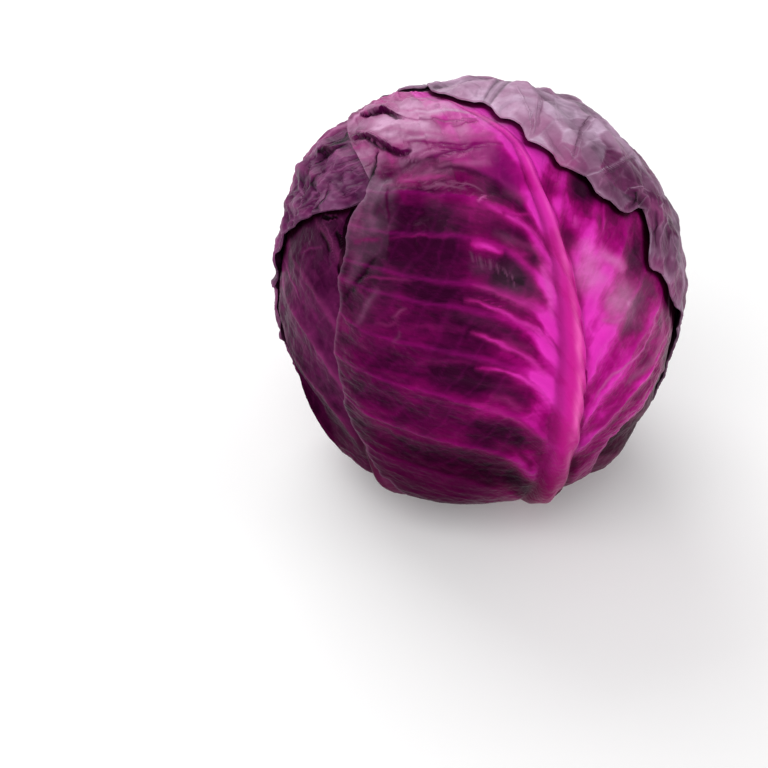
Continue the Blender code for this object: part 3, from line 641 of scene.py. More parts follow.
# Strokes of colour and relief, drawn along what the photo shows, in its pixels: (line, half
# width, glow, bloom, strength, rise in millimetres)
# Dark strokes of glow at zero or below along creases and fold pockets paint their shade; pale strokes of
# strong bloom along the lips of folds and the rims of wrinkles paint their highlights.
STROKES = {
    "leaf_front": [
        ([(361, 115), (372, 112), (382, 108.5), (390, 110.5), (397, 115),
          (405, 117.5)], 1.9, -0.6, -0.5, 1, -0.3),
        ([(372, 112.5), (383, 110), (391, 113)], 3.2, -0.6, -0.5, 1, 0),
        ([(352, 136), (359, 134.5), (367, 136), (377, 141), (390, 147), (401, 150.5),
          (413, 150)], 1.9, -0.6, -0.5, 1, -0.3),
        ([(367, 136.5), (378, 142), (391, 147.5)], 3, -0.6, -0.5, 1, 0),
        ([(374, 108.5), (383, 104.5), (391, 106.5), (399, 111)], 1.2, 0.6, 1.1, 0.7, 0.3),
        ([(357, 131), (368, 131.5), (379, 136.5), (392, 142)], 1.4, 0.6, 0.9, 0.7, 0.3),
        ([(379, 152), (378, 162), (374, 173), (369, 184), (363, 194)], 1.5, -0.4, -0.4, 0.9, -0.4),
        ([(400, 181), (425, 176), (450, 167), (475, 161), (492, 162)], 5, 0.5, 0.8, 0.75, 0.1),
        ([(420, 186), (445, 184), (468, 190)], 2.5, 0.35, 0.6, 0.6, 0.1),
        ([(398, 188), (425, 190), (455, 190)], 2.5, 0.12, 0, 0.8, 0),
        ([(412, 156), (440, 147), (475, 143), (505, 144)], 3, 0.25, 0, 0.85, -0.2),
        ([(388, 186), (388, 205), (388, 225)], 2, 0.08, 0, 0.8, 0),
        ([(362, 200), (357, 215), (353, 232)], 4, 0.3, 0.4, 0.6, 0),
        ([(398, 92), (415, 89), (440, 89), (465, 96)], 6, 0.62, 1.6, 0.85, 0),
        ([(496, 176), (508, 184), (520, 190)], 4, 0.2, 0.15, 0.6, 0),
        ([(398, 214), (406, 222), (412, 232)], 5, 0.12, 0.02, 0.7, 0),
        ([(553, 450), (560, 456), (568, 462)], 6, 0.12, 0.02, 0.7, 0),
        ([(388, 98), (400, 90), (414, 84), (430, 79)], 4, 0.55, 1.2, 0.8, 0.2),
        ([(356, 142), (372, 136), (388, 130), (400, 126)], 7, 0.3, 0.25, 0.7, 0),
        ([(634, 206), (640, 224), (643, 244), (643, 262)], 6, 0.62, 0.1, 0.75, 0),
        ([(500, 238), (520, 244), (540, 252)], 5, 0.55, 0.3, 0.6, 0),
        ([(500, 300), (520, 300), (541, 306)], 5, 0.62, 0.25, 0.7, 0),
        ([(520, 324), (534, 328), (546, 336)], 5, 0.55, 0.1, 0.6, 0),
        ([(594, 210), (600, 222), (604, 236)], 5, 0.35, 0.1, 0.6, 0),
        ([(500, 118), (520, 126)], 6, 0.6, 0.8, 0.5, 0),
        ([(530, 240), (545, 262), (556, 290)], 6, 0.88, 0.25, 0.6, 0),
        ([(478, 262), (494, 268), (508, 272)], 5, 0.3, 0.05, 0.5, 0),
        ([(400, 206), (430, 194), (466, 184)], 10, 0.42, 0.2, 0.5, 0),
        ([(346, 150), (362, 140), (380, 134)], 7, 0.34, 0.2, 0.6, 0),
        ([(471, 250), (473, 256), (475, 263)], 1.7, 0.26, 0.5, 0.42, 0),
        ([(479, 254), (481, 261), (483, 269)], 1.7, 0.26, 0.5, 0.42, 0),
        ([(487, 257), (489, 263), (491, 270)], 1.7, 0.26, 0.5, 0.42, 0),
        ([(495, 262), (497, 269), (499, 277)], 1.7, 0.26, 0.5, 0.42, 0),
        ([(503, 268), (505, 274), (507, 281)], 1.7, 0.26, 0.5, 0.42, 0),
        ([(511, 274), (513, 281), (515, 289)], 1.7, 0.26, 0.5, 0.42, 0),
        ([(472, 113), (490, 119), (508, 124)], 6, 0.62, 1.2, 0.75, 0),
        ([(347, 125), (354, 117), (366, 109), (380, 101)], 4, 0.6, 1.3, 0.8, 0),
        ([(662, 300), (663, 330), (656, 358)], 5, 0.62, 0.55, 0.7, 0),
        ([(392, 104), (420, 98), (450, 101), (470, 106)], 5, 0.55, 1.3, 0.7, 0.3),
        ([(398, 118), (415, 119.5), (440, 119.5), (465, 118), (482, 118)], 1.6, 0.42, 0.5, 0.8, -0.4),
        ([(405, 112), (430, 112), (455, 110), (475, 112)], 3.5, 0.5, 1.5, 0.8, 0.25),
        ([(452, 126), (465, 123), (480, 120)], 2, 0.4, 0.2, 0.8, -0.3),
        ([(385, 127), (410, 132), (440, 134), (475, 135), (505, 133)], 4, 0.5, 0.5, 0.6, 0.3),
        ([(352, 146), (362, 143), (375, 148), (390, 153), (404, 156)], 5, 0.25, 0.1, 0.8, 0),
        ([(500, 158), (515, 174), (530, 190)], 8, 0.42, 0, 0.8, 0),
        ([(505, 240), (520, 255), (530, 275)], 6, 0.78, 0.1, 0.7, 0),
        ([(500, 350), (515, 360), (524, 374)], 6, 0.6, 0, 0.7, 0),
        ([(520, 425), (535, 440), (545, 462)], 7, 0.3, 0, 0.8, 0),
        ([(404, 142), (440, 143), (465, 145), (492, 145.5)], 4, 0.22, 0, 0.9, -0.45),
        ([(393, 172), (412, 163), (432, 157), (452, 151), (470, 148),
          (492, 147)], 3, 0.12, 0.05, 0.9, -0.5),
        ([(396, 178), (412, 172), (428, 165), (446, 159), (470, 156),
          (492, 158)], 3, 0.42, 0.25, 0.75, 0.35),
        ([(500, 153), (512, 163), (520, 172)], 6, 0.38, 0, 0.7, -0.2),
        ([(432, 168), (452, 167), (475, 172), (498, 178)], 3.5, 0.1, 0.05, 0.85, -0.4),
        ([(397, 179), (412, 180), (432, 178), (450, 175)], 3, 0.58, 0.3, 0.8, 0.35),
        ([(445, 184), (455, 181.5), (466, 182), (476, 186), (484, 192)], 1.6, 0.4, 0.5, 0.7, 0.25),
        ([(395, 190), (420, 193), (450, 192), (470, 195)], 4, 0.25, 0, 0.6, -0.1),
        ([(395, 205), (420, 212), (450, 215), (468, 222)], 12, 0.08, 0.02, 0.6, 0),
        ([(478, 201), (486, 195)], 1.6, 0.75, 0.6, 0.9, 0.3),
        ([(484, 202), (496, 209), (508, 216), (522, 224), (534, 232), (543, 243),
          (549, 256)], 3, 0.85, 0.15, 0.85, 0.4),
        ([(503, 213), (518, 214), (534, 214)], 3, 0.75, 0.1, 0.6, 0.1),
        ([(502, 190), (520, 196), (524, 206)], 6, 0.35, 0.35, 0.6, 0),
        ([(492, 232), (505, 238), (518, 244)], 5, 0.22, 0.3, 0.6, -0.15),
        ([(440, 238), (456, 235)], 2, 0.5, 0.1, 0.7, 0.2),
        ([(470, 242), (482, 246), (492, 249), (504, 252)], 3.5, 0.88, 0.1, 0.9, 0.35),
        ([(504, 252), (520, 252), (534, 256)], 3, 0.6, 0.1, 0.6, 0.15),
        ([(388, 238), (402, 236), (420, 234), (440, 236), (456, 236)], 1.8, 0.35, 0.05, 0.7, 0.2),
        ([(380, 252), (410, 256), (440, 258), (462, 256)], 10, 0.02, 0, 0.75, -0.1),
        ([(468, 268), (482, 268), (494, 268)], 6, 0.14, 0.2, 0.7, 0.1),
        ([(494, 274), (508, 280), (524, 284), (534, 290)], 4.5, 0, 0.12, 0.8, -0.25),
        ([(472, 285), (488, 289), (502, 295), (517, 301), (532, 307),
          (546, 316)], 3, 0.62, 0.2, 0.75, 0.3),
        ([(482, 295), (498, 301), (512, 305)], 2.2, 0.28, 0, 0.7, -0.25),
        ([(462, 301), (480, 303), (496, 310), (510, 316), (526, 323), (540, 330), (551, 338),
          (559, 350), (562, 362)], 2.6, 0.85, 0.15, 0.85, 0.4),
        ([(440, 315), (462, 316), (484, 322), (504, 331), (520, 338)], 6, 0.05, 0.1, 0.8, -0.25),
        ([(400, 328), (425, 326), (448, 328), (470, 331)], 3, 0.32, 0.05, 0.7, 0.15),
        ([(468, 331), (486, 337), (501, 344), (515, 351), (529, 359), (540, 368),
          (549, 380)], 3, 0.82, 0.15, 0.8, 0.4),
        ([(500, 340), (520, 345), (535, 352)], 5, 0.6, 0.2, 0.5, 0),
        ([(405, 347), (430, 347), (458, 350), (480, 354)], 6, 0.03, 0, 0.8, -0.25),
        ([(405, 363), (430, 362), (460, 361), (480, 365)], 3, 0.3, 0.05, 0.7, 0.15),
        ([(476, 367), (495, 368), (511, 374), (526, 380), (538, 389), (547, 400),
          (552, 412)], 2.8, 0.85, 0.1, 0.85, 0.4),
        ([(432, 376), (460, 380), (485, 384), (508, 391), (522, 400),
          (530, 414)], 6, 0.04, 0.06, 0.8, -0.25),
        ([(487, 396), (505, 400), (522, 412)], 4, 0.42, 0.2, 0.5, 0.1),
        ([(470, 402), (488, 406), (503, 414), (516, 421), (530, 430),
          (541, 438)], 2.8, 0.58, 0.12, 0.8, 0.35),
        ([(472, 420), (492, 430), (512, 440)], 6, 0.05, 0, 0.8, -0.2),
        ([(500, 448), (518, 452), (530, 462), (530, 472)], 3, 0.35, 0, 0.7, 0.1),
        ([(505, 470), (520, 485), (545, 492)], 10, 0.02, 0, 0.8, 0),
        ([(540, 262), (547, 280), (551, 300), (552, 320)], 4.5, 0.98, 0.35, 0.8, 0.1),
        ([(546, 328), (553, 348), (556, 362)], 3.5, 0.98, 0.1, 0.8, 0.1),
        ([(540, 372), (547, 388), (551, 404)], 5, 0.95, 0.05, 0.8, 0.1),
        ([(552, 404), (553, 420), (554, 436)], 3, 0.7, 0.1, 0.6, 0.1),
        ([(583, 238), (590, 258), (592, 280)], 9, 0.95, 0.7, 0.75, 0),
        ([(598, 250), (615, 262), (627, 268)], 7, 0.9, 0.85, 0.8, 0.25),
        ([(605, 300), (622, 303), (634, 302)], 7, 0.6, 0.75, 0.75, 0.15),
        ([(628, 300), (630, 306)], 3, 0.7, 1.1, 0.8, 0),
        ([(600, 320), (615, 322), (628, 318)], 2.5, 0.7, 0.6, 0.6, 0.2),
        ([(620, 212), (628, 232), (632, 250)], 9, 0.75, 0, 0.7, -0.15),
        ([(645, 235), (646, 262)], 4, 0.45, 0, 0.6, -0.2),
        ([(603, 200), (604, 218), (603, 236)], 2.5, 0.7, 0.05, 0.8, 0.25),
        ([(586, 205), (588, 220)], 5, 0.25, 0.05, 0.7, -0.15),
        ([(575, 215), (576, 228)], 3, 0.85, 0.3, 0.5, 0),
        ([(582, 182), (583, 196)], 5, 0.02, 0.1, 0.85, -0.1),
        ([(566, 190), (569, 210), (570, 228)], 3, 0.8, 0, 0.6, 0),
        ([(640, 280), (652, 288), (656, 300)], 6, 0.2, 0.2, 0.7, -0.15),
        ([(592, 404), (600, 390), (612, 376), (625, 366), (640, 353), (650, 336), (657, 313),
          (662, 293)], 1.8, 0.75, 0.55, 0.85, 0.45),
        ([(603, 340), (620, 345), (635, 340)], 8, 0.68, 0.1, 0.6, 0),
        ([(590, 350), (598, 370), (593, 390)], 6, 0.62, 0, 0.6, 0),
        ([(625, 385), (640, 372), (655, 358), (660, 345)], 5, 0.4, 0.55, 0.7, 0.15),
        ([(600, 441), (615, 431), (630, 420), (643, 407), (652, 392), (659, 375),
          (663, 357)], 1.6, 0.6, 0.8, 0.85, 0.4),
        ([(585, 432), (600, 425), (615, 412), (628, 398)], 5, 0.3, 0.1, 0.7, -0.15),
        ([(580, 458), (595, 449), (612, 438), (626, 428)], 1.5, 0.55, 0.5, 0.8, 0.3),
        ([(588, 410), (596, 402)], 3, 0.85, 0.1, 0.7, 0.1),
        ([(378, 190), (370, 210), (372, 232)], 7, 0.22, 0.4, 0.75, 0.3),
        ([(362, 250), (355, 268), (347, 284)], 6, 0.15, 0.36, 0.75, 0.3),
        ([(352, 241), (365, 239), (382, 238)], 2.5, 0.42, 0.1, 0.7, 0.1),
        ([(376, 256), (364, 273), (352, 289), (343, 300)], 4, 0.02, 0, 0.85, -0.5),
        ([(362, 280), (372, 277), (385, 279), (398, 280), (412, 281)], 2, 0.38, 0.12, 0.8, 0.25),
        ([(380, 289), (370, 300), (363, 312), (356, 326)], 3.5, 0.2, 0.32, 0.75, 0.3),
        ([(372, 284), (362, 292)], 3, 0.05, 0.05, 0.8, -0.25),
        ([(390, 318), (400, 312), (408, 309)], 2, 0.35, 0.25, 0.7, 0.2),
        ([(375, 326), (390, 324), (400, 318)], 2, 0.35, 0.12, 0.7, 0.1),
        ([(398, 322), (400, 334), (394, 345)], 2, 0.25, 0.2, 0.6, 0.1),
        ([(386, 150), (392, 158), (393, 168)], 5, 0.72, 0.3, 0.7, 0.1),
        ([(398, 155), (412, 158), (425, 160)], 4, 0.25, 0.1, 0.6, 0),
        ([(383, 186), (392, 183), (400, 186)], 2.5, 0.35, 0.35, 0.6, 0.2),
        ([(379, 170), (384, 180)], 4, 0.2, 0.1, 0.6, -0.15),
        ([(345, 150), (358, 148), (370, 147)], 4, 0.62, 0.25, 0.6, 0.1),
        ([(357, 160), (368, 157), (376, 154)], 2, 0.5, 0.6, 0.6, 0.2),
        ([(358, 172), (368, 166), (375, 160)], 1.6, 0.2, 0.1, 0.6, -0.3),
    ],
    "leaf_upper_left": [
        ([(320, 158), (330, 149), (341, 142), (352, 137)], 1.7, -0.6, -0.5, 1, -0.4),
        ([(352, 146), (360, 142), (368, 146), (372, 152)], 3, 0.12, 0.1, 0.7, -0.2),
        ([(338, 137), (345, 129), (352, 126), (357, 129)], 1.1, 0.5, 0.7, 0.8, 0.4),
        ([(341, 141), (349, 133), (355, 134)], 1.6, -0.3, -0.3, 0.85, -0.4),
        ([(308, 172), (318, 160), (330, 153)], 1.6, -0.4, -0.4, 0.85, -0.4),
        ([(318, 176), (330, 167), (345, 161)], 1, 0.5, 0.7, 0.7, 0.4),
        ([(312, 200), (322, 193), (331, 190)], 1.2, 0.5, 0.6, 0.7, 0.4),
        ([(296, 214), (308, 206), (318, 204)], 1.6, 0.1, 0, 0.7, -0.4),
        ([(350, 170), (358, 176), (366, 172)], 1, 0.45, 0.5, 0.6, 0.3),
        ([(345, 194), (356, 190), (362, 184)], 1, 0.45, 0.6, 0.6, 0.3),
        ([(331, 181), (328, 190), (325, 199), (318, 207), (311, 213)], 1.8, 0, 0, 0.95, -0.9),
        ([(325, 170), (318, 175), (312, 183), (307, 190)], 3, 0, 0, 0.9, -0.8),
        ([(300, 172), (303, 181), (306, 192), (304, 204)], 1.8, 0.05, 0, 0.85, -0.6),
        ([(297, 177), (301, 188), (303, 198), (299, 209), (292, 218)], 1.3, 0.5, 0.6, 0.8, 0.5),
        ([(326, 178), (322, 186), (314, 193), (309, 202)], 1.6, 0.5, 0.65, 0.8, 0.5),
        ([(334, 171), (345, 167), (358, 162), (370, 157)], 1.6, 0.6, 0.6, 0.75, 0.4),
        ([(338, 160), (352, 156), (364, 153)], 1.6, 0.55, 0.5, 0.6, 0.3),
        ([(340, 152), (352, 149), (362, 147)], 3, 0.7, 0.3, 0.6, 0.1),
        ([(336, 165), (350, 161), (362, 157)], 1.4, 0.15, 0.1, 0.7, -0.4),
        ([(340, 176), (355, 170), (364, 165)], 1.6, 0.2, 0.1, 0.6, -0.4),
        ([(342, 190), (355, 184), (364, 179)], 2.2, 0.08, 0.1, 0.75, -0.5),
        ([(333, 180), (345, 178), (352, 186)], 6, 0.22, 0.4, 0.5, 0),
        ([(328, 204), (341, 201), (351, 196)], 2.2, 0.4, 0.4, 0.7, 0.35),
        ([(305, 175), (309, 165), (316, 157)], 3, 0.1, 0.1, 0.7, -0.5),
        ([(312, 165), (322, 158), (328, 163)], 3, 0.35, 0.4, 0.6, 0.25),
        ([(326, 148), (335, 145), (343, 143)], 1.3, 0.45, 0.55, 0.9, 0.5),
        ([(322, 154), (335, 150), (348, 144)], 2.2, 0, 0, 0.95, -0.7),
        ([(326, 145), (336, 141), (346, 137)], 1.4, 0, 0, 0.8, -0.5),
        ([(345, 125), (331, 135), (319, 147), (310, 159)], 3.5, 0.6, 0.7, 0.7, 0.2),
        ([(292, 195), (289, 208), (287, 220)], 3, 0.3, 0.2, 0.6, 0),
        ([(287, 226), (293, 220), (300, 214), (310, 208)], 1.3, 0.45, 0.5, 0.7, 0.35),
    ],
    "leaf_left": [
        ([(352, 209), (347, 222), (344, 240), (342, 258), (340, 274)], 3.2, -0.6, -0.5, 1, -0.5),
        ([(326, 213), (335, 216), (343, 222)], 1.2, 0.5, 0.5, 0.7, 0.4),
        ([(322, 218), (330, 217), (338, 219)], 2.2, -0.4, -0.4, 0.9, -0.3),
        ([(300, 250), (303, 275), (308, 295)], 12, 0.35, 0.28, 0.6, 0),
        ([(322, 270), (328, 288), (331, 303)], 9, 0, 0, 0.85, -0.3),
        ([(286, 246), (285, 260), (289, 276), (295, 290), (301, 303)], 1.4, 0.6, 0.5, 0.8, 0.4),
        ([(283, 262), (283, 280), (284, 297)], 4, 0.7, 0.45, 0.7, 0),
        ([(322, 221), (328, 229), (331, 240), (333, 252), (336, 262)], 1.5, 0.4, 0.45, 0.85, 0.6),
        ([(335, 228), (339, 240), (340, 252)], 2.5, 0, 0, 0.9, -0.7),
        ([(318, 228), (325, 238), (328, 250), (331, 265)], 3, 0.02, 0, 0.8, -0.5),
        ([(322, 221), (334, 220), (343, 219)], 1.2, 0.4, 0.35, 0.7, 0.3),
        ([(300, 252), (310, 249), (322, 247)], 1.4, 0.5, 0.1, 0.6, 0.15),
        ([(325, 275), (327, 285)], 3, 0.15, 0, 0.5, 0),
    ],
    "leaf_cap": [
        ([(572, 146), (584, 160), (594, 180)], 10, 0.2, 0.35, 0.6, 0),
        ([(604, 186), (616, 200), (624, 214)], 8, 0.22, 0.25, 0.6, 0),
        ([(630, 160), (642, 176), (650, 192)], 8, 0.22, 0.3, 0.6, 0),
        ([(575, 166), (592, 178), (607, 190), (622, 200)], 7, 0.08, 0.15, 0.85, 0),
        ([(655, 228), (664, 246), (668, 262)], 5, 0.2, 0.15, 0.6, 0),
        ([(516, 85), (524, 100), (529, 113), (531, 128), (527, 138)], 1, 0.65, 1.1, 0.7, 0.4),
        ([(596, 115), (588, 120), (580, 128), (576, 146), (571, 163)], 1, 0.12, 0.25, 0.75, -0.5),
        ([(600, 118), (592, 124), (583, 132), (580, 148), (576, 160)], 1.2, 0.45, 1.1, 0.6, 0.3),
        ([(634, 154), (622, 160), (610, 166), (597, 172), (586, 176)], 1.3, 0.35, 1.2, 0.85, 0.6),
        ([(636, 158), (624, 164), (612, 170), (600, 176)], 2.2, 0.1, 0.15, 0.8, -0.5),
        ([(542, 129), (552, 147), (561, 162)], 1, 0.5, 0.8, 0.6, 0.3),
        ([(545, 128), (555, 145), (565, 161)], 1.6, 0.2, 0.3, 0.5, -0.3),
        ([(555, 96), (556, 112), (560, 126)], 1.2, 0.15, 1.2, 0.5, -0.3),
        ([(505, 95), (525, 100), (540, 108)], 8, 0.3, 1, 0.6, 0.1),
        ([(470, 90), (485, 95), (500, 108)], 5, 0.55, 0.7, 0.5, 0),
        ([(515, 110), (525, 125), (535, 138)], 4, 0.6, 0.6, 0.6, 0),
        ([(545, 105), (565, 118), (572, 130)], 9, 0.15, 0.9, 0.6, 0),
        ([(538, 92), (536, 110), (534, 130), (532, 139)], 1.3, 0.5, 0.8, 0.7, 0.35),
        ([(541, 95), (541, 110), (538, 128)], 1.6, 0.2, 0.3, 0.6, -0.4),
        ([(545, 135), (560, 145), (572, 155)], 6, 0.6, 0.35, 0.6, 0),
        ([(578, 135), (585, 150), (600, 160)], 6, 0.15, 0.35, 0.6, -0.15),
        ([(580, 125), (582, 140)], 2, 0.1, 0.3, 0.6, -0.35),
        ([(562, 145), (568, 150), (573, 158), (580, 163)], 1.3, 0.6, 0.7, 0.7, 0.35),
        ([(605, 140), (620, 148), (632, 152)], 6, 0.25, 0.85, 0.6, 0.15),
        ([(608, 166), (618, 162), (628, 157), (635, 152.5)], 1.5, 0.5, 1, 0.8, 0.5),
        ([(618, 172), (630, 170), (639, 175), (644, 185)], 9, 0.12, 0.12, 0.75, -0.3),
        ([(610, 178), (612, 190)], 4, 0.2, 0.2, 0.6, 0),
        ([(605, 168), (602, 178), (598, 186)], 1.6, 0.6, 0.5, 0.7, 0.35),
        ([(584, 162), (586, 170)], 2, 0.5, 0.1, 0.6, 0),
        ([(624, 194), (628, 189), (636, 187.5), (645, 188), (650, 191)], 1.3, 0.5, 0.7, 0.9, 0.6),
        ([(630, 193), (636, 196), (634, 204), (628, 208)], 3, 0, 0, 0.9, -0.7),
        ([(647, 195), (641, 203), (635, 210), (631, 213)], 1.2, 0.45, 0.6, 0.9, 0.5),
        ([(659, 188), (662, 196), (660, 206), (663, 214)], 1.4, 0.45, 0.8, 0.8, 0.5),
        ([(664, 205), (667, 216), (664, 228), (661, 240), (659, 250)], 1.5, 0.5, 0.65, 0.8, 0.5),
        ([(671, 232), (675, 246), (677, 260), (680, 275)], 1.2, 0.45, 0.7, 0.8, 0.5),
        ([(655, 210), (655, 230), (655, 248)], 2.5, 0.02, 0.05, 0.85, -0.6),
        ([(668, 240), (668, 256), (666, 266)], 3, 0.15, 0.15, 0.6, -0.3),
        ([(653, 222), (653, 240), (654, 258)], 1.2, 0.35, 0.4, 0.6, 0.2),
        ([(676, 285), (677, 300), (680, 312)], 3, 0.35, 0.4, 0.6, 0),
    ],
    "leaf_right": [
        ([(672, 300), (672, 318), (669, 338), (665, 352)], 1.5, 0.6, 0.8, 0.85, 0.4),
        ([(679, 315), (678, 330), (673, 343)], 4, 0.3, 0.1, 0.6, 0),
        ([(600, 452), (615, 445), (630, 434), (642, 420)], 3, 0.15, 0.05, 0.8, -0.2),
    ],
}


# Folds, drawn in the same way: a line whose left side lies over its right, its height in metres,
# and in degrees how far the lift reaches and how wide the slit gapes
FOLDS = {
    "leaf_front": [
        ([(359.5, 114.2), (371.5, 113), (383, 110.3), (390, 112.5), (397, 117.2), (405, 119)],
         0.0019, 5, 0.9),
        ([(352, 140), (359.5, 137.5), (367, 136.7), (374.5, 139.7), (384, 145.3), (394, 150),
          (404, 152.5), (413, 149.8)], 0.002, 6, 0.9),
        ([(380, 148.7), (378, 161.7), (374, 171), (370, 181), (366.4, 191.5)], 0.0009, 3.5, 0.6),
    ],
    "leaf_upper_left": [
        ([(316, 160), (323.5, 152.5), (333.5, 148.5), (344, 145), (353, 140)], 0.0016, 5, 0.8),
    ],
}

# Small curls with a raised rim round a hollow: (across, along, half width, height)
CURLS = {"leaf_cap": [(-66.5, 57.5, 4.0, 0.0011)]}


def chart_points(leaf, dirs, shake):
    """Chart places, shaken a little so that what is drawn there looks grown."""
    across, along = across_and_along(leaf, dirs)
    across = across + shake * noise(dirs * 16.0, 71)
    return np.stack([across, along + shake * noise(dirs * 16.0, 72)], axis=-1)


def folded(leaf, dirs):
    """(shift of the blade, painted shade in the slit under each fold and in the hollow of each curl) from the
    folds and curls in this leaf.
    """
    points = chart_points(leaf, dirs, 0.4)
    shift, slit_shade = np.zeros(len(dirs)), np.zeros(len(dirs))
    for line, height, reach, gape in leaf["folds"]:
        away, share = line_distance(points, line)
        strength = np.sin(np.pi * np.clip(share, 0.0, 1.0)) ** 0.5
        gape = gape * (0.25 + strength)
        over = np.where(away > 0, np.exp(-np.abs(away) / reach), 0.0) * np.tanh(np.abs(away) / 0.22)
        open_slit = np.exp(-(((away + gape) / gape) ** 2)) * (away < 0)
        shift = shift + strength * (height * over - SLIT_DEPTH * open_slit)
        edge = np.exp(-(((away + 0.8 * gape) / gape) ** 2))
        slit_shade = np.maximum(slit_shade, np.minimum(1.0, 1.2 * strength) * edge * (away < 0.25))
    for across_at, along_at, wide, height in CURLS.get(leaf["name"], []):
        away = np.hypot(points[:, 0] - across_at, points[:, 1] - along_at) / wide
        rim, hollow = np.exp(-(((away - 1.0) / 0.28) ** 2)), np.exp(-((away / 0.62) ** 2))
        shift = shift + height * (rim - 0.9 * hollow)
        slit_shade = np.maximum(slit_shade, 0.75 * np.exp(-((away / 0.6) ** 2)))
    return shift, slit_shade


# Degrees of the head's surface that a pixel of the photo spans where the head faces the camera
DEGREES_PER_PIXEL = 0.276

# Strokes at least this many degrees wide to each side are painted on the mesh itself
BROAD_STROKE = 1.3

# How much of a stroke's strength stays where two strokes are equally near
SHARED_INK = 0.30

# What the material knows of the nearest fine stroke, which may be skin colour, painted shade in a crease or a
# painted highlight on a lip
INK = ("side", "far", "half", "glow", "bloom_and_sheen", "share", "rise")


def stroked(leaf, dirs):
    """(marks on the mesh, the ink that the material draws fine strokes with)

    A broad stroke is one mark and a fine one a soft halo. The ink is a smooth distance from the
    nearest fine stroke, in degrees, so that it can be finer than the mesh: its signed distance, its
    plain distance, and what that stroke looks like.
    """
    points = chart_points(leaf, dirs, 0.5)
    near, second, marks = np.full(len(dirs), 1e9), np.full(len(dirs), 1e9), []
    ink = {label: np.zeros(len(dirs)) for label in INK}
    ink["far"], ink["half"] = ink["far"] + 9.0, ink["half"] + 1.0
    for line, width, glow, bloom_and_sheen, strength, high in leaf["strokes"]:
        half = width * DEGREES_PER_PIXEL
        away, share = line_distance(points, line)
        ends = np.clip(np.sin(np.pi * np.clip(share, 0.0, 1.0)), 0.0, 1.0) ** 0.4
        if half >= BROAD_STROKE:
            body = 0.85 * strength * ends * np.exp(-((away / half) ** 2))
            marks.append((body, max(glow, 0.03), max(bloom_and_sheen, 0.0)))
            continue
        halo = ends * np.exp(-((away / (2.8 * half)) ** 2))
        soft = 0.25 + 0.55 * glow if glow > 0.5 else 0.8 * max(glow, 0.0)
        marks.append((0.38 * strength * halo, soft, max(0.35 * bloom_and_sheen, 0.0)))
        widths_off = np.abs(away) / half
        nearer = widths_off < near
        second = np.where(nearer, near, np.minimum(second, widths_off))
        near = np.where(nearer, widths_off, near)
        looks = (away, np.abs(away), half, glow, bloom_and_sheen, strength * ends, high)
        for label, value in zip(INK, looks):
            ink[label] = np.where(nearer, value, ink[label])
    ink["share"] = ink["share"] * (SHARED_INK + (1.0 - SHARED_INK) * step((second - near) / 0.6))
    ink["side"], ink["far"] = np.clip(ink["side"], -12.0, 12.0), np.clip(ink["far"], 0.0, 12.0)
    return marks, {"ink_" + label: values for label, values in ink.items()}


def crushed(leaf, dirs):
    """Where the leaf has flat panes: leaf_front only high up, at its upper left and over the back."""
    if leaf["name"] != "leaf_front":
        return 1.0
    longitude = longitude_of(dirs)
    left = np.where(longitude > 60.0, 1.0, step((-98.0 - longitude) / 16.0))
    return left * step((rise_of(dirs) - 118.0) / 20.0)


def leaf_faces(index, dirs):
    """The radii of the leaf's inner and outer faces, and its painting masks."""
    leaf = LEAVES[index]
    under = inner_radius(dirs) + GAP
    for lower in LEAVES[:index]:
        under = under + drape_over(lower, dirs)
    inside = np.maximum(depth_inside(leaf, dirs), 0.0)
    shown, shade = exposed(index, dirs)
    above = step((rise_of(dirs) - VEINS_FROM_RISE) / (VEINS_FULL_RISE - VEINS_FROM_RISE))
    rib_away, half, high = rib_line(leaf, dirs)
    near_rib = rib_away / half
    off_rib = step((np.abs(near_rib) - 0.9) / 0.9)
    swell, line, count = veins(leaf, dirs)
    fork = branchlets(leaf, dirs)
    facet = facets(leaf, dirs)
    rumple = rumples(leaf, dirs)
    size, steep = leaf.get("panes", (8.0, 0.0))
    pane, tone, crease = (part * crushed(leaf, dirs) for part in panes(leaf, dirs, size))
    fold, slit_shade = folded(leaf, dirs)
    marks, ink = stroked(leaf, dirs)
    relief = RUMPLE_HEIGHT * leaf["rumple"] * rumple + FACET_HEIGHT * leaf["facets"] * facet
    relief = off_rib * (relief + np.clip(steep * pane, PANE_LOWEST, PANE_HIGHEST))
    relief = relief + SWELL_HEIGHT * swell * step(inside / 8.0)
    flare = leaf.get("flare", FLARE) * step(1.0 - inside / FLARE_WIDTH)
    inner = under + shown * above * (relief + flare) + shown * fold
    pressed = COVERED_RIB + (1.0 - COVERED_RIB) * shown
    across, along = across_and_along(leaf, dirs)
    if leaf["name"] == "leaf_cap":
        pressed = pressed * (1.0 - 0.85 * step((along - 34.0) / 20.0))
    fine = off_rib * (VEIN_HEIGHT * line * step(inside / 3.0) + FORK_HEIGHT * fork)
    fine = fine + SKIN_HEIGHT * layered(dirs * 42.0, 81, 2)
    outer = inner + blade_thickness(leaf, dirs, inside) + pressed * midrib(near_rib, high)
    outer = outer + shown * above * fine
    masks = {
        "inside": inside, "near_rib": near_rib, "line": line * off_rib, "fork": fork * off_rib,
        "facet": facet, "rumple": rumple, "slit_shade": slit_shade * shown, "shade": shade, "tone": tone,
        "crease": crease, "run": across / 5.0, "track": 7.0 * count, "swell": swell,
        "above": above, "marks": marks, "ink": ink,
    }
    return crowding(dirs, inner), crowding(dirs, outer), masks


# Lines drawn on the photo, placed on the leaves


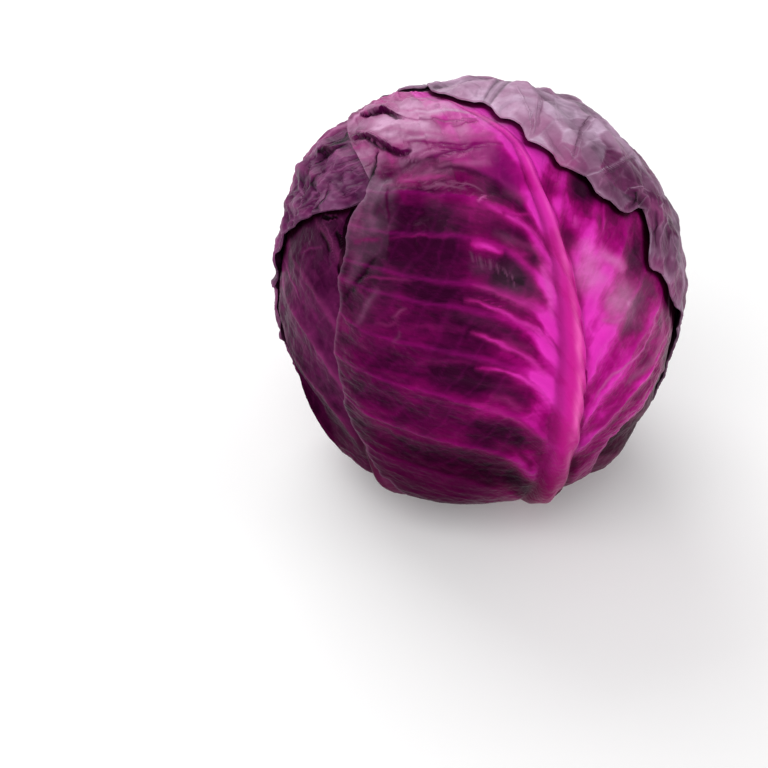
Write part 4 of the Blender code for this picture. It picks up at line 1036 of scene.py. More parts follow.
def photo_camera():
    """The place of the photo's camera, and its ways right, up and ahead."""
    pitch = math.radians(CAMERA_PITCH)
    right = np.array([1.0, 0.0, 0.0])
    up = np.array([0.0, math.sin(pitch), math.cos(pitch)])
    ahead = np.array([0.0, math.cos(pitch), -math.sin(pitch)])
    middle = PHOTO_SIDE / 2.0
    offset = right * (HEAD_PIXEL[0] - middle) + up * (middle - HEAD_PIXEL[1])
    place = np.array([0.0, 0.0, CENTRE_HEIGHT]) - (ahead + offset / FOCAL_PIXELS) * CAMERA_DISTANCE
    return place, right, up, ahead


def looked_at(pixels, radius):
    """Where rays through pixels of the photo meet a ball round the head's middle, or pass nearest."""
    place, right, up, ahead = photo_camera()
    off = (pixels - PHOTO_SIDE / 2.0) / FOCAL_PIXELS
    rays = ahead + right * off[:, :1] - up * off[:, 1:]
    rays = rays / np.linalg.norm(rays, axis=1, keepdims=True)
    start = place - np.array([0.0, 0.0, CENTRE_HEIGHT])
    toward = -rays @ start
    under_root = toward**2 - start @ start + radius**2
    points = start + (toward - np.sqrt(np.maximum(under_root, 0.0)))[:, None] * rays
    return points / np.linalg.norm(points, axis=1, keepdims=True)


def placed(index, drawn):
    """Lines drawn on the photo, moved to the leaf's chart by looking for its surface five times."""
    leaf = LEAVES[index]
    lines = drawn.get(leaf["name"], [])
    if not lines:
        return []
    pixels = np.array([pixel for line in lines for pixel in line[0]], float)
    radius = np.full(len(pixels), FIRST_RADIUS)
    for _ in range(5):
        dirs = looked_at(pixels, radius)
        radius = (radius + leaf_faces(index, dirs)[1]) / 2.0
    places = np.round(np.stack(across_and_along(leaf, dirs), axis=-1), 1)
    cuts = np.cumsum([len(line[0]) for line in lines])[:-1]
    return [(part, *line[1:]) for part, line in zip(np.split(places, cuts), lines)]


# Painting: each mask is a formula of the place on its leaf


# Round spots of glow and of bloom: (longitude, rise, width, size). Leaf_front's wide bloom spot high on the
# upper left and the two right of its midrib are painted sheen where the light falls.
FRONT_GLOW = [
    (-114, 132, 10, -0.34), (-104, 118, 11, -0.20), (-95, 108, 8, -0.10), (-92, 97, 8, -0.06),
    (-84, 125, 6, -0.35), (-43, 143, 6, -0.60), (-36, 121, 7, -0.45), (-100, 139, 6, 0.10),
    (-57, 122, 7, 0.25), (-74, 112, 8, 0.22), (-88, 152, 8, 0.15), (-33, 132, 7, -0.40),
    (-108, 126, 12, 0.16), (-98, 122, 9, 0.12),
]
FRONT_BLOOM_AND_SHEEN = [
    (-134, 128, 13, 0.12), (-130, 112, 10, 0.06), (-165, 158, 19, 1.25), (-112, 149, 10, 0.12),
    (-48.5, 110.5, 6, 0.60), (-57.5, 122, 5.5, 0.60), (-84.5, 124, 5, 0.10), (-38, 98, 9, 0.10),
]
CAP_GLOW = [(-55, 165, 14, 0.30), (-40, 150, 10, 0.25)]
# The cap's bloom spots high on its top paint sheen where the light falls, and those below zero at its right
# paint its shade.
CAP_BLOOM_SHEEN_AND_SHADE = [
    (20, 168, 22, 0.30), (-60, 168, 12, 0.25), (-14, 126, 9, -0.55), (-25, 105, 20, -0.50),
    (0, 100, 30, -0.20), (-30, 137, 9, -0.40), (-45, 146, 8, -0.25), (-27, 116, 8, -0.30),
]

# Soft patches of skin: (across, along, half width, half height, change of glow, change of bloom)
PATCHES = {
    "leaf_front": [
        (-8.5, 74.0, 8.0, 8.0, -0.80, -0.10), (-20.0, 63.0, 9.0, 7.0, 0.14, 0.06),
        (-2.0, 57.0, 6.0, 12.0, 0.14, 0.06), (-15.0, 41.0, 9.0, 6.0, 0.16, 0.16),
        (28.0, 45.0, 6.0, 12.0, 0.34, 0.04), (-42.0, 86.5, 9.0, 6.0, -0.14, -0.55),
        (-67.5, 90.5, 9.0, 5.0, -0.16, -0.55), (-47.0, 78.0, 8.0, 6.0, -0.02, -0.40),
        (-32.0, 70.0, 9.0, 5.0, -0.05, -0.45), (-47.0, 62.0, 9.0, 9.0, -0.12, -0.30),
        (-3.5, 44.0, 3.5, 12.0, 0.14, 0.14), (-9.0, 1.0, 7.0, 9.0, -0.30, -0.10),
        (14.0, 74.0, 6.0, 9.0, -0.15, 0.10),
    ],
    "leaf_cap": [
        (-46.0, 76.0, 8.0, 8.0, -0.14, -0.55), (-61.5, 72.0, 8.0, 7.0, -0.02, -0.40),
        (-55.0, 53.0, 9.0, 8.0, -0.06, -0.34), (-10.5, 83.0, 8.0, 5.0, 0.14, 0.24),
        (-56.0, 82.0, 5.0, 5.0, 0.16, 0.26), (-97.0, 32.0, 9.0, 14.0, 0.20, 0.26),
        (-1.0, 86.0, 6.0, 4.0, 0.10, 0.20),
    ],
}


def patched(leaf, dirs, glow, bloom_and_sheen):
    """The paint with the leaf's soft patches laid over it."""
    across, along = across_and_along(leaf, dirs)
    for side, up, wide, tall, to_glow, to_bloom_and_sheen in PATCHES[leaf["name"]]:
        patch = np.exp(-(((across - side) / wide) ** 2) - ((along - up) / tall) ** 2)
        glow, bloom_and_sheen = glow + to_glow * patch, bloom_and_sheen + to_bloom_and_sheen * patch
    return glow, bloom_and_sheen


def paint_front(leaf, dirs, m):
    """Bright magenta by the midrib and along the veins, deep purple between, grey bloom at the edge, and pale
    bloom as painted sheen high on the upper left and right of the midrib.
    """
    across, along = across_and_along(leaf, dirs)
    away = np.abs(m["near_rib"]) * 4.0
    drift = 0.5 + 0.5 * layered(dirs * 6.0, 91, 3)
    rise = rise_of(dirs)
    left = 0.80 * step((13.0 - away + 4.0 * m["swell"]) / 9.0) + 0.16 * np.exp(-away / 30.0)
    right = 0.64 * np.exp(-((across / 34.0) ** 2))
    left = left * (1.0 - 0.40 * step((along - 56.0) / 16.0))
    glow = 0.14 + np.where(across < -3.0, left, right)
    ends = np.exp(-away / 26.0)
    glow = glow + 0.24 * m["line"] * (0.3 + ends) + 0.10 * m["fork"] * ends
    # Brighter over the swell of each side vein and darker between them: partly the veins' own colour, partly
    # painted shade in the hollows between the swells.
    glow = glow + 0.26 * (m["swell"] - 0.35) * (0.35 + ends)
    glow = glow * (0.70 + 0.4 * drift) + 0.16 * (drift - 0.5)
    glow = glow + 0.45 * step((along - 62.0) / 26.0) * np.exp(-(((across + 14.0) / 34.0) ** 2))
    # Painted shade: the glow fades towards the stem, where the head's underside is turned from the light.
    glow = glow * (0.12 + 0.88 * step((rise - 36.0 + 0.25 * across) / 34.0))
    beside = np.exp(-(((np.abs(m["near_rib"]) - 1.8) / 1.1) ** 2))
    glow = glow - 0.20 * beside * step((along - 40.0) / 14.0) * (1.0 - step((along - 72.0) / 8.0))
    glow = glow + spots(dirs, FRONT_GLOW) + 0.12 * m["tone"]
    bloom_and_sheen = spots(dirs, FRONT_BLOOM_AND_SHEEN) * (1.0 + 0.55 * layered(dirs * 9.0, 92, 3))
    bloom_and_sheen = bloom_and_sheen - 0.14 * m["tone"] + 0.06 * m["crease"]
    return patched(leaf, dirs, glow, bloom_and_sheen)


def paint_cap(leaf, dirs, m):
    """Dull lilac-grey panes with pinkish creases, with painted shade towards the right, and darker towards
    the back.
    """
    drift = layered(dirs * 5.0, 95, 3)
    fine = layered(dirs * 15.0, 94, 3)
    glow = 0.22 + 0.16 * drift + 0.14 * m["facet"] + 0.18 * m["line"] + 0.14 * fine
    glow = glow + spots(dirs, CAP_GLOW)
    # 1 over the cap's front, where its panes and creases show, falling to 0.3 towards the back, where the
    # skin turns darker with paler veins.
    front_share = 0.30 + 0.70 * step(spot(dirs, -38, 132, 48) * 2.0 - 0.5)
    tone = m["tone"] * front_share
    glow = glow + 0.16 * tone + 0.22 * m["crease"] * front_share * step(1.0 - np.abs(m["tone"]) * 1.6)
    glow = glow + (1.0 - front_share) * (0.60 * m["line"] - 0.10)
    bloom_and_sheen = 0.66 + 0.25 * m["facet"] + 0.26 * layered(dirs * 8.0, 96, 3) + 0.16 * fine
    bloom_and_sheen = bloom_and_sheen - 0.42 * tone + 0.34 * m["crease"] * front_share
    bloom_and_sheen = bloom_and_sheen + (1.0 - front_share) * (0.45 * m["line"] - 0.26)
    bloom_and_sheen = bloom_and_sheen + spots(dirs, CAP_BLOOM_SHEEN_AND_SHADE)
    return patched(leaf, dirs, glow, bloom_and_sheen)


def paint_plain(leaf, dirs, m):
    """Dark purple skin, brighter along the veins and the midrib, with a thin bloom."""
    seed = 97 + int(abs(leaf["longitude"]))
    drift = layered(dirs * 5.5, seed, 3)
    glow = 0.13 + 0.16 * drift + 0.24 * m["line"] + 0.06 * m["fork"]
    glow = glow + 0.10 * layered(dirs * 18.0, seed + 5, 2)
    glow = glow + 0.25 * np.exp(-np.abs(m["near_rib"]) / 3.0)
    bloom_and_sheen = 0.02 + 0.24 * layered(dirs * 8.0, 98, 3) + 0.16 * m["facet"] * leaf["facets"]
    return glow, bloom_and_sheen


def painting(leaf, dirs, m):
    """The masks that the leaf's material reads."""
    paint = {"leaf_front": paint_front, "leaf_cap": paint_cap}.get(leaf["name"], paint_plain)
    glow, bloom_and_sheen = paint(leaf, dirs, m)
    if leaf["name"] == "leaf_right":
        low = step((62.0 - rise_of(dirs)) / 24.0)
        glow, bloom_and_sheen = glow + 0.10 * low, bloom_and_sheen * (1.0 - low)
    if leaf["name"] == "leaf_upper_left":
        # Lighter where the rumples and facets stand out and darker in their hollows: painted highlight and
        # painted shade of the wrinkles.
        glow = glow - 0.05 + 0.24 * m["rumple"] + 0.10 * m["facet"] + 0.10 * m["tone"]
        bloom_and_sheen = bloom_and_sheen - 0.02 + 0.32 * m["rumple"] + 0.30 * m["crease"] - 0.12 * m["tone"]
    for mark, to_glow, to_bloom_and_sheen in m["marks"]:
        glow = glow + (to_glow - glow) * mark
        bloom_and_sheen = bloom_and_sheen + (to_bloom_and_sheen - bloom_and_sheen) * mark
    across, along = across_and_along(leaf, dirs)
    near_rib = m["near_rib"]
    rib_mask = np.exp(-(np.abs(near_rib) / 0.95) ** 4) * (1.0 - 0.42 * step((along - 35.0) / 22.0))
    # Painted shade in the grooves along each side of the midrib, deeper on its left.
    left_groove_shade = np.exp(-(((near_rib + 1.0) / 0.34) ** 2))
    right_groove_shade = np.exp(-(((near_rib - 1.08) / 0.20) ** 2))
    # A painted highlight along the crest of the midrib, just right of its middle line.
    crest_highlight = np.exp(-(((near_rib - 0.18) / 0.36) ** 2)) * (0.75 + 0.5 * layered(dirs * 12.0, 62, 2))
    # Painted shade low on the head, where the underside is turned from the light: below the widest part the
    # skin is darkened and shows less bloom.
    low = step((90.0 - rise_of(dirs)) / 34.0)
    return {
        "glow": glow, "bloom_and_sheen": bloom_and_sheen * m["above"] * (1.0 - 0.6 * low), "rib": rib_mask,
        "groove_shade": left_groove_shade + 0.8 * right_groove_shade, "crest_highlight": crest_highlight, "line": m["line"],
        "fork": m["fork"], "slit_shade": m["slit_shade"], "edge": np.exp(-((m["inside"] / 0.7) ** 2)),
        "low": low, "matt": low * step((-10.0 - across) / 20.0), "shade": m["shade"],
        "run": m["run"], "track": m["track"], **m["ink"],
    }


# Mesh


def relaxed(grid, rounds):
    """Evens out the inside of a flat grid, so that no cell folds over, while its rim stays."""
    for _ in range(rounds):
        over = (grid[1:-1, 2:] - grid[1:-1, :-2]) / 2.0
        up = (grid[2:, 1:-1] - grid[:-2, 1:-1]) / 2.0
        slant = grid[2:, 2:] - grid[2:, :-2] - grid[:-2, 2:] + grid[:-2, :-2]
        a = (up**2).sum(axis=-1, keepdims=True)
        b = (over * up).sum(axis=-1, keepdims=True)
        c = (over**2).sum(axis=-1, keepdims=True)
        middle = a * (grid[1:-1, 2:] + grid[1:-1, :-2]) + c * (grid[2:, 1:-1] + grid[:-2, 1:-1])
        grid[1:-1, 1:-1] = (middle - b * slant / 2.0) / (2.0 * (a + c))
    return grid


def round_grid(leaf, columns, rows):
    """A grid that fills the leaf's chart: a square drawn into its rounded outline."""
    across = np.linspace(-1.0, 1.0, columns + 1)
    across = across * (0.7 + 0.3 * across**2)
    along = np.linspace(-1.0, 1.0, rows + 1)
    across, along = np.meshgrid(across, along)
    x = across * np.sqrt(1.0 - along**2 / 2.0)
    y = along * np.sqrt(1.0 - across**2 / 2.0)
    every, _, smooth, spread = leaf["table"]
    turned = np.degrees(np.arctan2(x, y))
    bearing = np.interp(turned, np.append(spread, 180.0), np.append(every, 180.0))
    part = np.hypot(x, y)
    even = np.interp(bearing, every, smooth, period=360.0)
    reach = part * (even + (reach_at(leaf, bearing) - even) * part**3)
    turned = np.radians(bearing)
    return np.stack([reach * np.sin(turned), reach * np.cos(turned)], axis=-1)


def doubled(grid):
    """The same grid with twice the cells each way."""
    rows, columns = grid.shape[:2]
    more = np.empty((2 * rows - 1, 2 * columns - 1, 2))
    more[::2, ::2] = grid
    more[1::2, ::2] = (grid[1:] + grid[:-1]) / 2.0
    more[:, 1::2] = (more[:, 2::2] + more[:, :-2:2]) / 2.0
    return more


def leaf_grid(leaf):
    columns, rows = leaf["grid"]
    grid = relaxed(round_grid(leaf, columns, rows), 40)
    for _ in range(DOUBLINGS):
        columns, rows = 2 * columns, 2 * rows
        grid = doubled(grid)
        rim = round_grid(leaf, columns, rows)
        for edge in (np.s_[0, :], np.s_[-1, :], np.s_[:, 0], np.s_[:, -1]):
            grid[edge] = rim[edge]
        grid = relaxed(grid, 14)
    return grid


def grid_faces(grid, offset, outwards):
    """Two triangles for each cell, split along the diagonal that leaves them more alike."""
    rows, wide = grid.shape[:2]
    a = (np.arange(rows - 1)[:, None] * wide + np.arange(wide - 1)[None, :]).reshape(-1)
    b, c, d = a + 1, a + wide + 1, a + wide
    flat = grid.reshape(-1, 2)

    def area(p, q, r):
        p, q, r = flat[p], flat[q], flat[r]
        return (q[:, 0] - p[:, 0]) * (r[:, 1] - p[:, 1]) - (q[:, 1] - p[:, 1]) * (r[:, 0] - p[:, 0])

    first = np.minimum(area(a, b, c), area(a, c, d)) >= np.minimum(area(a, b, d), area(b, c, d))
    one = np.where(first[:, None], np.stack([a, b, c], -1), np.stack([a, b, d], -1))
    two = np.where(first[:, None], np.stack([a, c, d], -1), np.stack([b, c, d], -1))
    faces = np.concatenate([one, two]) + offset
    return faces if outwards else faces[:, ::-1]


def rim_loop(rows, wide):
    columns = wide - 1
    loop = list(range(columns)) + [row * wide + columns for row in range(rows - 1)]
    loop += [(rows - 1) * wide + column for column in range(columns, 0, -1)]
    return loop + [row * wide for row in range(rows - 1, 0, -1)]


def rim_faces(fine_loop, coarse_loop):
    """The thin edge of the blade, from the fine outer face to the coarser inner one."""
    ratio = len(fine_loop) // len(coarse_loop)
    faces = []
    for k, here in enumerate(coarse_loop):
        there = coarse_loop[(k + 1) % len(coarse_loop)]
        run = [fine_loop[(k * ratio + j) % len(fine_loop)] for j in range(ratio + 1)]
        for j in range(ratio):
            if j == ratio // 2:
                faces.append((run[j], here, there))
            faces.append((run[j], there if j >= ratio // 2 else here, run[j + 1]))
    return faces


# Masks that measure something, so that they aren't kept within a range
MEASURES = ("run", "track", *("ink_" + label for label in INK if label != "share"))


# Edges sharper than this many degrees aren't shaded smooth
SMOOTH_BELOW = 35.0


def mesh_object(name, points, faces, finish, masks=None):
    mesh = bpy.data.meshes.new(name)
    faces = np.asarray(faces, np.int32)
    mesh.vertices.add(len(points))
    mesh.vertices.foreach_set("co", np.asarray(points, np.float32).reshape(-1))
    mesh.loops.add(len(faces) * 3)
    mesh.loops.foreach_set("vertex_index", faces.reshape(-1))
    mesh.polygons.add(len(faces))
    mesh.polygons.foreach_set("loop_start", np.arange(len(faces), dtype=np.int32) * 3)
    mesh.update(calc_edges=True)
    mesh.validate()
    for label, values in (masks or {}).items():
        layer = mesh.attributes.new(label, "FLOAT", "POINT")
        if label not in MEASURES:
            values = np.clip(values, 0.0, 1.5)
        layer.data.foreach_set("value", np.asarray(values, np.float32))
    mesh.materials.append(finish)
    mesh.shade_smooth()
    mesh.set_sharp_from_angle(angle=math.radians(SMOOTH_BELOW))
    made = bpy.data.objects.new(name, mesh)
    bpy.context.scene.collection.objects.link(made)
    return made


def carried(piece, node):
    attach(piece, "root")
    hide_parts(node)


def add_leaf(index):
    """One closed leaf: a fine outer face, a coarser inner one, and the thin edge between them."""
    leaf = LEAVES[index]
    grid = leaf_grid(leaf)
    rows, wide = grid.shape[:2]
    x, y = grid.reshape(-1, 2).T
    dirs = from_chart(leaf, np.degrees(np.arctan2(x, y)), np.hypot(x, y))
    inner, outer, masks = leaf_faces(index, dirs)
    painted = painting(leaf, dirs, masks)
    picked = np.arange(rows * wide).reshape(rows, wide)[::COARSE_EVERY, ::COARSE_EVERY].reshape(-1)
    lift = np.array([0.0, 0.0, CENTRE_HEIGHT])
    points = np.concatenate([dirs * outer[:, None], dirs[picked] * inner[picked, None]]) + lift
    coarse = grid[::COARSE_EVERY, ::COARSE_EVERY]
    coarse_loop = [k + len(dirs) for k in rim_loop(*coarse.shape[:2])]
    faces = np.concatenate([
        grid_faces(grid, 0, True),
        grid_faces(coarse, len(dirs), False),
        np.array(rim_faces(rim_loop(rows, wide), coarse_loop)),
    ])
    painted = {label: np.concatenate([values, values[picked]]) for label, values in painted.items()}
    piece = mesh_object("dressed_" + leaf["name"], points, faces, leaf_material(leaf), painted)
    carried(piece, leaf["name"])


# Materials


class Nodes:
    """Short words for building a node tree."""

    def __init__(self, name):
        self.material = bpy.data.materials.new(name)
        self.material.use_nodes = True
        self.tree = self.material.node_tree
        self.shader = self.tree.nodes["Principled BSDF"]
        self.place = self.tree.nodes.new("ShaderNodeTexCoord").outputs["Object"]

    def put(self, socket, value):
        if isinstance(value, bpy.types.NodeSocket):
            self.tree.links.new(value, socket)
        elif isinstance(value, tuple) and len(value) == 3 and socket.type == "RGBA":
            socket.default_value = (*value, 1.0)
        else:
            socket.default_value = value

    def math(self, what, a, b=0.0, c=0.0, clamp=False):
        node = self.tree.nodes.new("ShaderNodeMath")
        node.operation, node.use_clamp = what, clamp
        for socket, value in zip(node.inputs, (a, b, c)):
            self.put(socket, value)
        return node.outputs[0]

    def around(self, texture, size, base=0.0):
        """A base that moves up and down with a texture whose middle is a half."""
        return self.math("MULTIPLY_ADD", self.math("SUBTRACT", texture, 0.5), size, base)

    def mix(self, a, b, share, blend="MIX"):
        node = self.tree.nodes.new("ShaderNodeMix")
        node.data_type, node.blend_type, node.clamp_factor = "RGBA", blend, True
        self.put(node.inputs[0], share)
        self.put(node.inputs[6], a)
        self.put(node.inputs[7], b)
        return node.outputs[2]

    def mask(self, label):
        node = self.tree.nodes.new("ShaderNodeAttribute")
        node.attribute_type, node.attribute_name = "GEOMETRY", label
        return node.outputs["Fac"]

    def noise(self, scale, detail=4.0, roughness=0.55, distortion=0.0, stretch=None):
        node = self.tree.nodes.new("ShaderNodeTexNoise")
        place = self.place
        if stretch:
            shift = self.tree.nodes.new("ShaderNodeMapping")
            shift.inputs["Scale"].default_value = stretch
            self.put(shift.inputs["Vector"], place)
            place = shift.outputs[0]
        self.put(node.inputs["Vector"], place)
        for label, value in (("Scale", scale), ("Detail", detail), ("Roughness", roughness),
                             ("Distortion", distortion)):
            node.inputs[label].default_value = value
        return node.outputs["Fac"]

    def along_veins(self, scale, detail=4.0):
        """Noise drawn out along the side veins."""
        place = self.tree.nodes.new("ShaderNodeCombineXYZ")
        self.put(place.inputs[0], self.mask("run"))
        self.put(place.inputs[1], self.mask("track"))
        node = self.tree.nodes.new("ShaderNodeTexNoise")
        self.put(node.inputs["Vector"], place.outputs[0])
        for label, value in (("Scale", scale), ("Detail", detail), ("Roughness", 0.62), ("Distortion", 0.35)):
            node.inputs[label].default_value = value
        return node.outputs["Fac"]

    def cells(self, scale):
        """The distance from the edge of the nearest cell of a fine net."""
        node = self.tree.nodes.new("ShaderNodeTexVoronoi")
        node.feature = "DISTANCE_TO_EDGE"
        self.put(node.inputs["Vector"], self.place)
        node.inputs["Scale"].default_value = scale
        return node.outputs["Distance"]

    def ramp(self, value, stops):
        node = self.tree.nodes.new("ShaderNodeValToRGB")
        band = node.color_ramp
        band.elements.remove(band.elements[1])
        for k, (place, colour) in enumerate(stops):
            stop = band.elements[0] if k == 0 else band.elements.new(place)
            stop.position, stop.color = place, (*colour, 1.0)
        self.put(node.inputs[0], value)
        return node.outputs[0]

    def bump(self, height, strength, distance, under=None):
        node = self.tree.nodes.new("ShaderNodeBump")
        node.inputs["Strength"].default_value = strength
        node.inputs["Distance"].default_value = distance
        self.put(node.inputs["Height"], height)
        if under is not None:
            self.put(node.inputs["Normal"], under)
        return node.outputs[0]


LOOKS = {
    "leaf_front": {
        "ramp": [(0.0, (0.032, 0.001, 0.018)), (0.2, (0.080, 0.001, 0.040)), (0.4, (0.160, 0.001, 0.072)),
                 (0.6, (0.330, 0.002, 0.155)), (0.8, (0.560, 0.012, 0.310)), (1.0, (0.800, 0.036, 0.520))],
        "bloom_and_sheen": (0.620, 0.340, 0.530), "bloom_and_sheen_share": 0.62, "grain": 0.42, "ior": 1.36,
        "rib": (0.580, 0.012, 0.262), "vein": (0.520, 0.008, 0.300), "vein_share": 0.35,
    },
    "leaf_cap": {
        "ramp": [(0.0, (0.070, 0.012, 0.048)), (0.3, (0.135, 0.026, 0.090)), (0.6, (0.250, 0.050, 0.160)),
                 (1.0, (0.420, 0.090, 0.260))],
        "bloom_and_sheen": (0.620, 0.440, 0.600), "bloom_and_sheen_share": 0.58,
        "rib": (0.330, 0.190, 0.290), "vein": (0.360, 0.150, 0.270), "vein_share": 0.30,
    },
    "leaf_upper_left": {
        "ramp": [(0.0, (0.050, 0.004, 0.036)), (0.3, (0.105, 0.010, 0.070)), (0.6, (0.200, 0.024, 0.130)),
                 (1.0, (0.360, 0.060, 0.230))],
        "bloom_and_sheen": (0.480, 0.240, 0.420), "bloom_and_sheen_share": 0.42, "ior": 1.28,
        "rib": (0.250, 0.040, 0.150), "vein": (0.280, 0.070, 0.180), "vein_share": 0.35,
    },
    "leaf_left": {
        "ramp": [(0.0, (0.048, 0.003, 0.030)), (0.3, (0.100, 0.008, 0.060)), (0.6, (0.200, 0.016, 0.118)),
                 (1.0, (0.360, 0.050, 0.210))],
        "bloom_and_sheen": (0.380, 0.130, 0.280), "bloom_and_sheen_share": 0.34, "ior": 1.22, "grain": 0.25, "gloss": 0.045,
        "rib": (0.260, 0.040, 0.140), "vein": (0.270, 0.040, 0.150), "vein_share": 0.35,
    },
    "leaf_right": {
        "ramp": [(0.0, (0.070, 0.008, 0.036)), (0.3, (0.150, 0.018, 0.080)), (0.6, (0.290, 0.040, 0.160)),
                 (1.0, (0.450, 0.110, 0.270))],
        "bloom_and_sheen": (0.460, 0.240, 0.330), "bloom_and_sheen_share": 0.50,
        "rib": (0.330, 0.060, 0.180), "vein": (0.480, 0.220, 0.330), "vein_share": 0.60,
    },
    "leaf_back": {
        "ramp": [(0.0, (0.050, 0.006, 0.030)), (0.3, (0.105, 0.014, 0.064)), (0.6, (0.210, 0.024, 0.120)),
                 (1.0, (0.360, 0.060, 0.210))],
        "bloom_and_sheen": (0.240, 0.120, 0.190), "bloom_and_sheen_share": 0.50,
        "rib": (0.280, 0.050, 0.160), "vein": (0.320, 0.080, 0.200), "vein_share": 0.45,
    },
}


# How shiny a leaf is where its look says nothing else, and what its matt low part takes away
LEAF_IOR = 1.42
LEAF_GLOSS = 0.13
MATT_LESS = -0.11
SHINE_TINT = (1.0, 0.12, 0.70, 1.0)
LEAF_GRAIN = 0.35

# Painted shade: what the skin's colour is multiplied by low on the head, where the underside is turned from
# the light, and beside the leaf above, under whose margin it lies in shade
LOW_SHADE_TINT = (0.24, 0.05, 0.18)
SHADE_TINT = (0.16, 0.05, 0.12)

# The least glow that the skin's drift leaves, so that only strokes and the painted shade in slits are darker
LEAST_GLOW = 0.04

# How much paler the painted highlight along the rib's crest is than the rib
CREST_HIGHLIGHT = (0.12, 0.10, 0.13)


def ink_drawn(n, fine, fibres):
    """How strongly the nearest fine stroke shows: a soft line, broken up along the fibres."""
    jitter = n.around(fine, 0.9, n.mask("ink_side"))
    away = n.math("MULTIPLY", n.mask("ink_far"), n.math("GREATER_THAN", n.mask("ink_far"), 0.95))
    far = n.math("DIVIDE", n.math("MAXIMUM", n.math("ABSOLUTE", jitter), away), n.mask("ink_half"))
    ink = n.math("POWER", math.e, n.math("MULTIPLY", n.math("MULTIPLY", far, far), -1.0))
    ink = n.math("MULTIPLY", ink, n.mask("ink_share"))
    return n.math("MULTIPLY", ink, n.math("MULTIPLY_ADD", fibres, 0.6, 0.75), clamp=True)


def leaf_material(leaf):
    look = LOOKS[leaf["name"]]
    n = Nodes("look_" + leaf["name"])
    broad = n.noise(38.0, 4.0, 0.55, 0.6)
    fine = n.noise(210.0, 3.0, 0.6)
    streaks = n.noise(120.0, 3.0, 0.6, 0.4, stretch=(1.0, 1.0, 3.2))
    fibres = n.along_veins(1.0)
    drift = n.around(streaks, 0.26, n.around(broad, 0.34))
    drift = n.around(fibres, 0.35, n.around(fine, 0.16, drift))
    ink = ink_drawn(n, fine, fibres)
    glow = n.math("MAXIMUM", n.math("ADD", n.mask("glow"), drift), LEAST_GLOW)
    drawn = n.math("MULTIPLY_ADD", drift, 0.7, n.mask("ink_glow"))
    glow = n.math("MULTIPLY_ADD", n.math("SUBTRACT", drawn, glow), ink, glow, clamp=True)
    # The bloom is the skin's grey wax bloom, and where it is strong, high on the head and right of
    # leaf_front's midrib, painted sheen as well.
    bloom_and_sheen = n.mask("bloom_and_sheen")
    bloom_and_sheen = n.math("MULTIPLY_ADD", n.math("SUBTRACT", n.mask("ink_bloom_and_sheen"), bloom_and_sheen), ink, bloom_and_sheen)
    bloom_and_sheen = n.math("POWER", n.math("MAXIMUM", bloom_and_sheen, 0.0), 1.4)
    bloom_and_sheen_seen = n.math("MULTIPLY", bloom_and_sheen, n.math("MULTIPLY_ADD", streaks, 0.9, 0.55))
    bloom_and_sheen_seen = n.math("MULTIPLY", bloom_and_sheen_seen, look["bloom_and_sheen_share"], clamp=True)
    n.put(n.shader.inputs["Base Color"], leaf_colour(n, look, glow, bloom_and_sheen_seen, fibres))
    rough = n.around(fine, 0.22, n.math("MULTIPLY_ADD", bloom_and_sheen_seen, 0.20, 0.36))
    n.put(n.shader.inputs["Roughness"], rough)
    n.shader.inputs["IOR"].default_value = look.get("ior", LEAF_IOR)
    gloss = n.math("MULTIPLY_ADD", n.mask("matt"), MATT_LESS, look.get("gloss", LEAF_GLOSS), clamp=True)
    n.put(n.shader.inputs["Specular IOR Level"], gloss)
    n.shader.inputs["Specular Tint"].default_value = SHINE_TINT
    net = n.math("MULTIPLY", n.cells(260.0), 3.0, clamp=True)
    skin = n.bump(n.noise(620.0, 2.0, 0.6), 0.25, 0.00022, n.bump(net, 0.30, 0.00035))
    skin = n.bump(n.math("MULTIPLY", ink, n.mask("ink_rise")), 1.0, 0.001, skin)
    skin = n.bump(streaks, 0.3, 0.0007, skin)
    n.put(n.shader.inputs["Normal"], n.bump(fibres, look.get("grain", LEAF_GRAIN), 0.0010, skin))
    return n.material


def leaf_colour(n, look, glow, bloom_and_sheen_seen, fibres):
    """Skin by its glow, then veins, bloom with painted sheen, midrib with its painted crest highlight,
    painted shade in its grooves and in slits, painted shade low on the head and beside the leaf above, and
    pale edge.
    """
    darkest = look["ramp"][0][1]
    pit = (0.0, tuple(0.12 * c for c in darkest))
    colour = n.ramp(glow, [pit, (0.05, darkest), *look["ramp"][1:]])
    veins_seen = n.math("MULTIPLY", n.mask("line"), look["vein_share"])
    veins_seen = n.math("MULTIPLY_ADD", n.mask("fork"), 0.14 * look["vein_share"], veins_seen)
    colour = n.mix(colour, look["vein"], veins_seen)
    colour = n.mix(colour, look["bloom_and_sheen"], bloom_and_sheen_seen)
    crest_highlight_colour = tuple(min(1.0, 1.30 * c + more) for c, more in zip(look["rib"], CREST_HIGHLIGHT))
    lit = n.math("MULTIPLY", n.math("POWER", n.mask("crest_highlight"), 1.3), n.math("ADD", fibres, 0.40))
    rib_colour = n.mix(look["rib"], crest_highlight_colour, lit)
    # The dark colour of the painted shade in the rib's grooves
    groove = tuple(0.40 * c for c in look["rib"])
    # The near black of the painted shade in the slits under folds and in the curls' hollows
    slit_shade = tuple(0.22 * c for c in darkest)
    pale = tuple(min(1.0, 1.1 * c + 0.03) for c in look["bloom_and_sheen"])
    for label, paint, share, blend in (
        ("rib", rib_colour, 0.88, "MIX"),
        ("groove_shade", groove, 0.62, "MIX"),
        ("slit_shade", slit_shade, 0.92, "MIX"),
        ("low", LOW_SHADE_TINT, 0.85, "MULTIPLY"),
        ("shade", SHADE_TINT, 0.92, "MULTIPLY"),
        ("edge", pale, 0.12, "MIX"),
    ):
        colour = n.mix(colour, paint, n.math("MULTIPLY", n.mask(label), share), blend)
    return colour


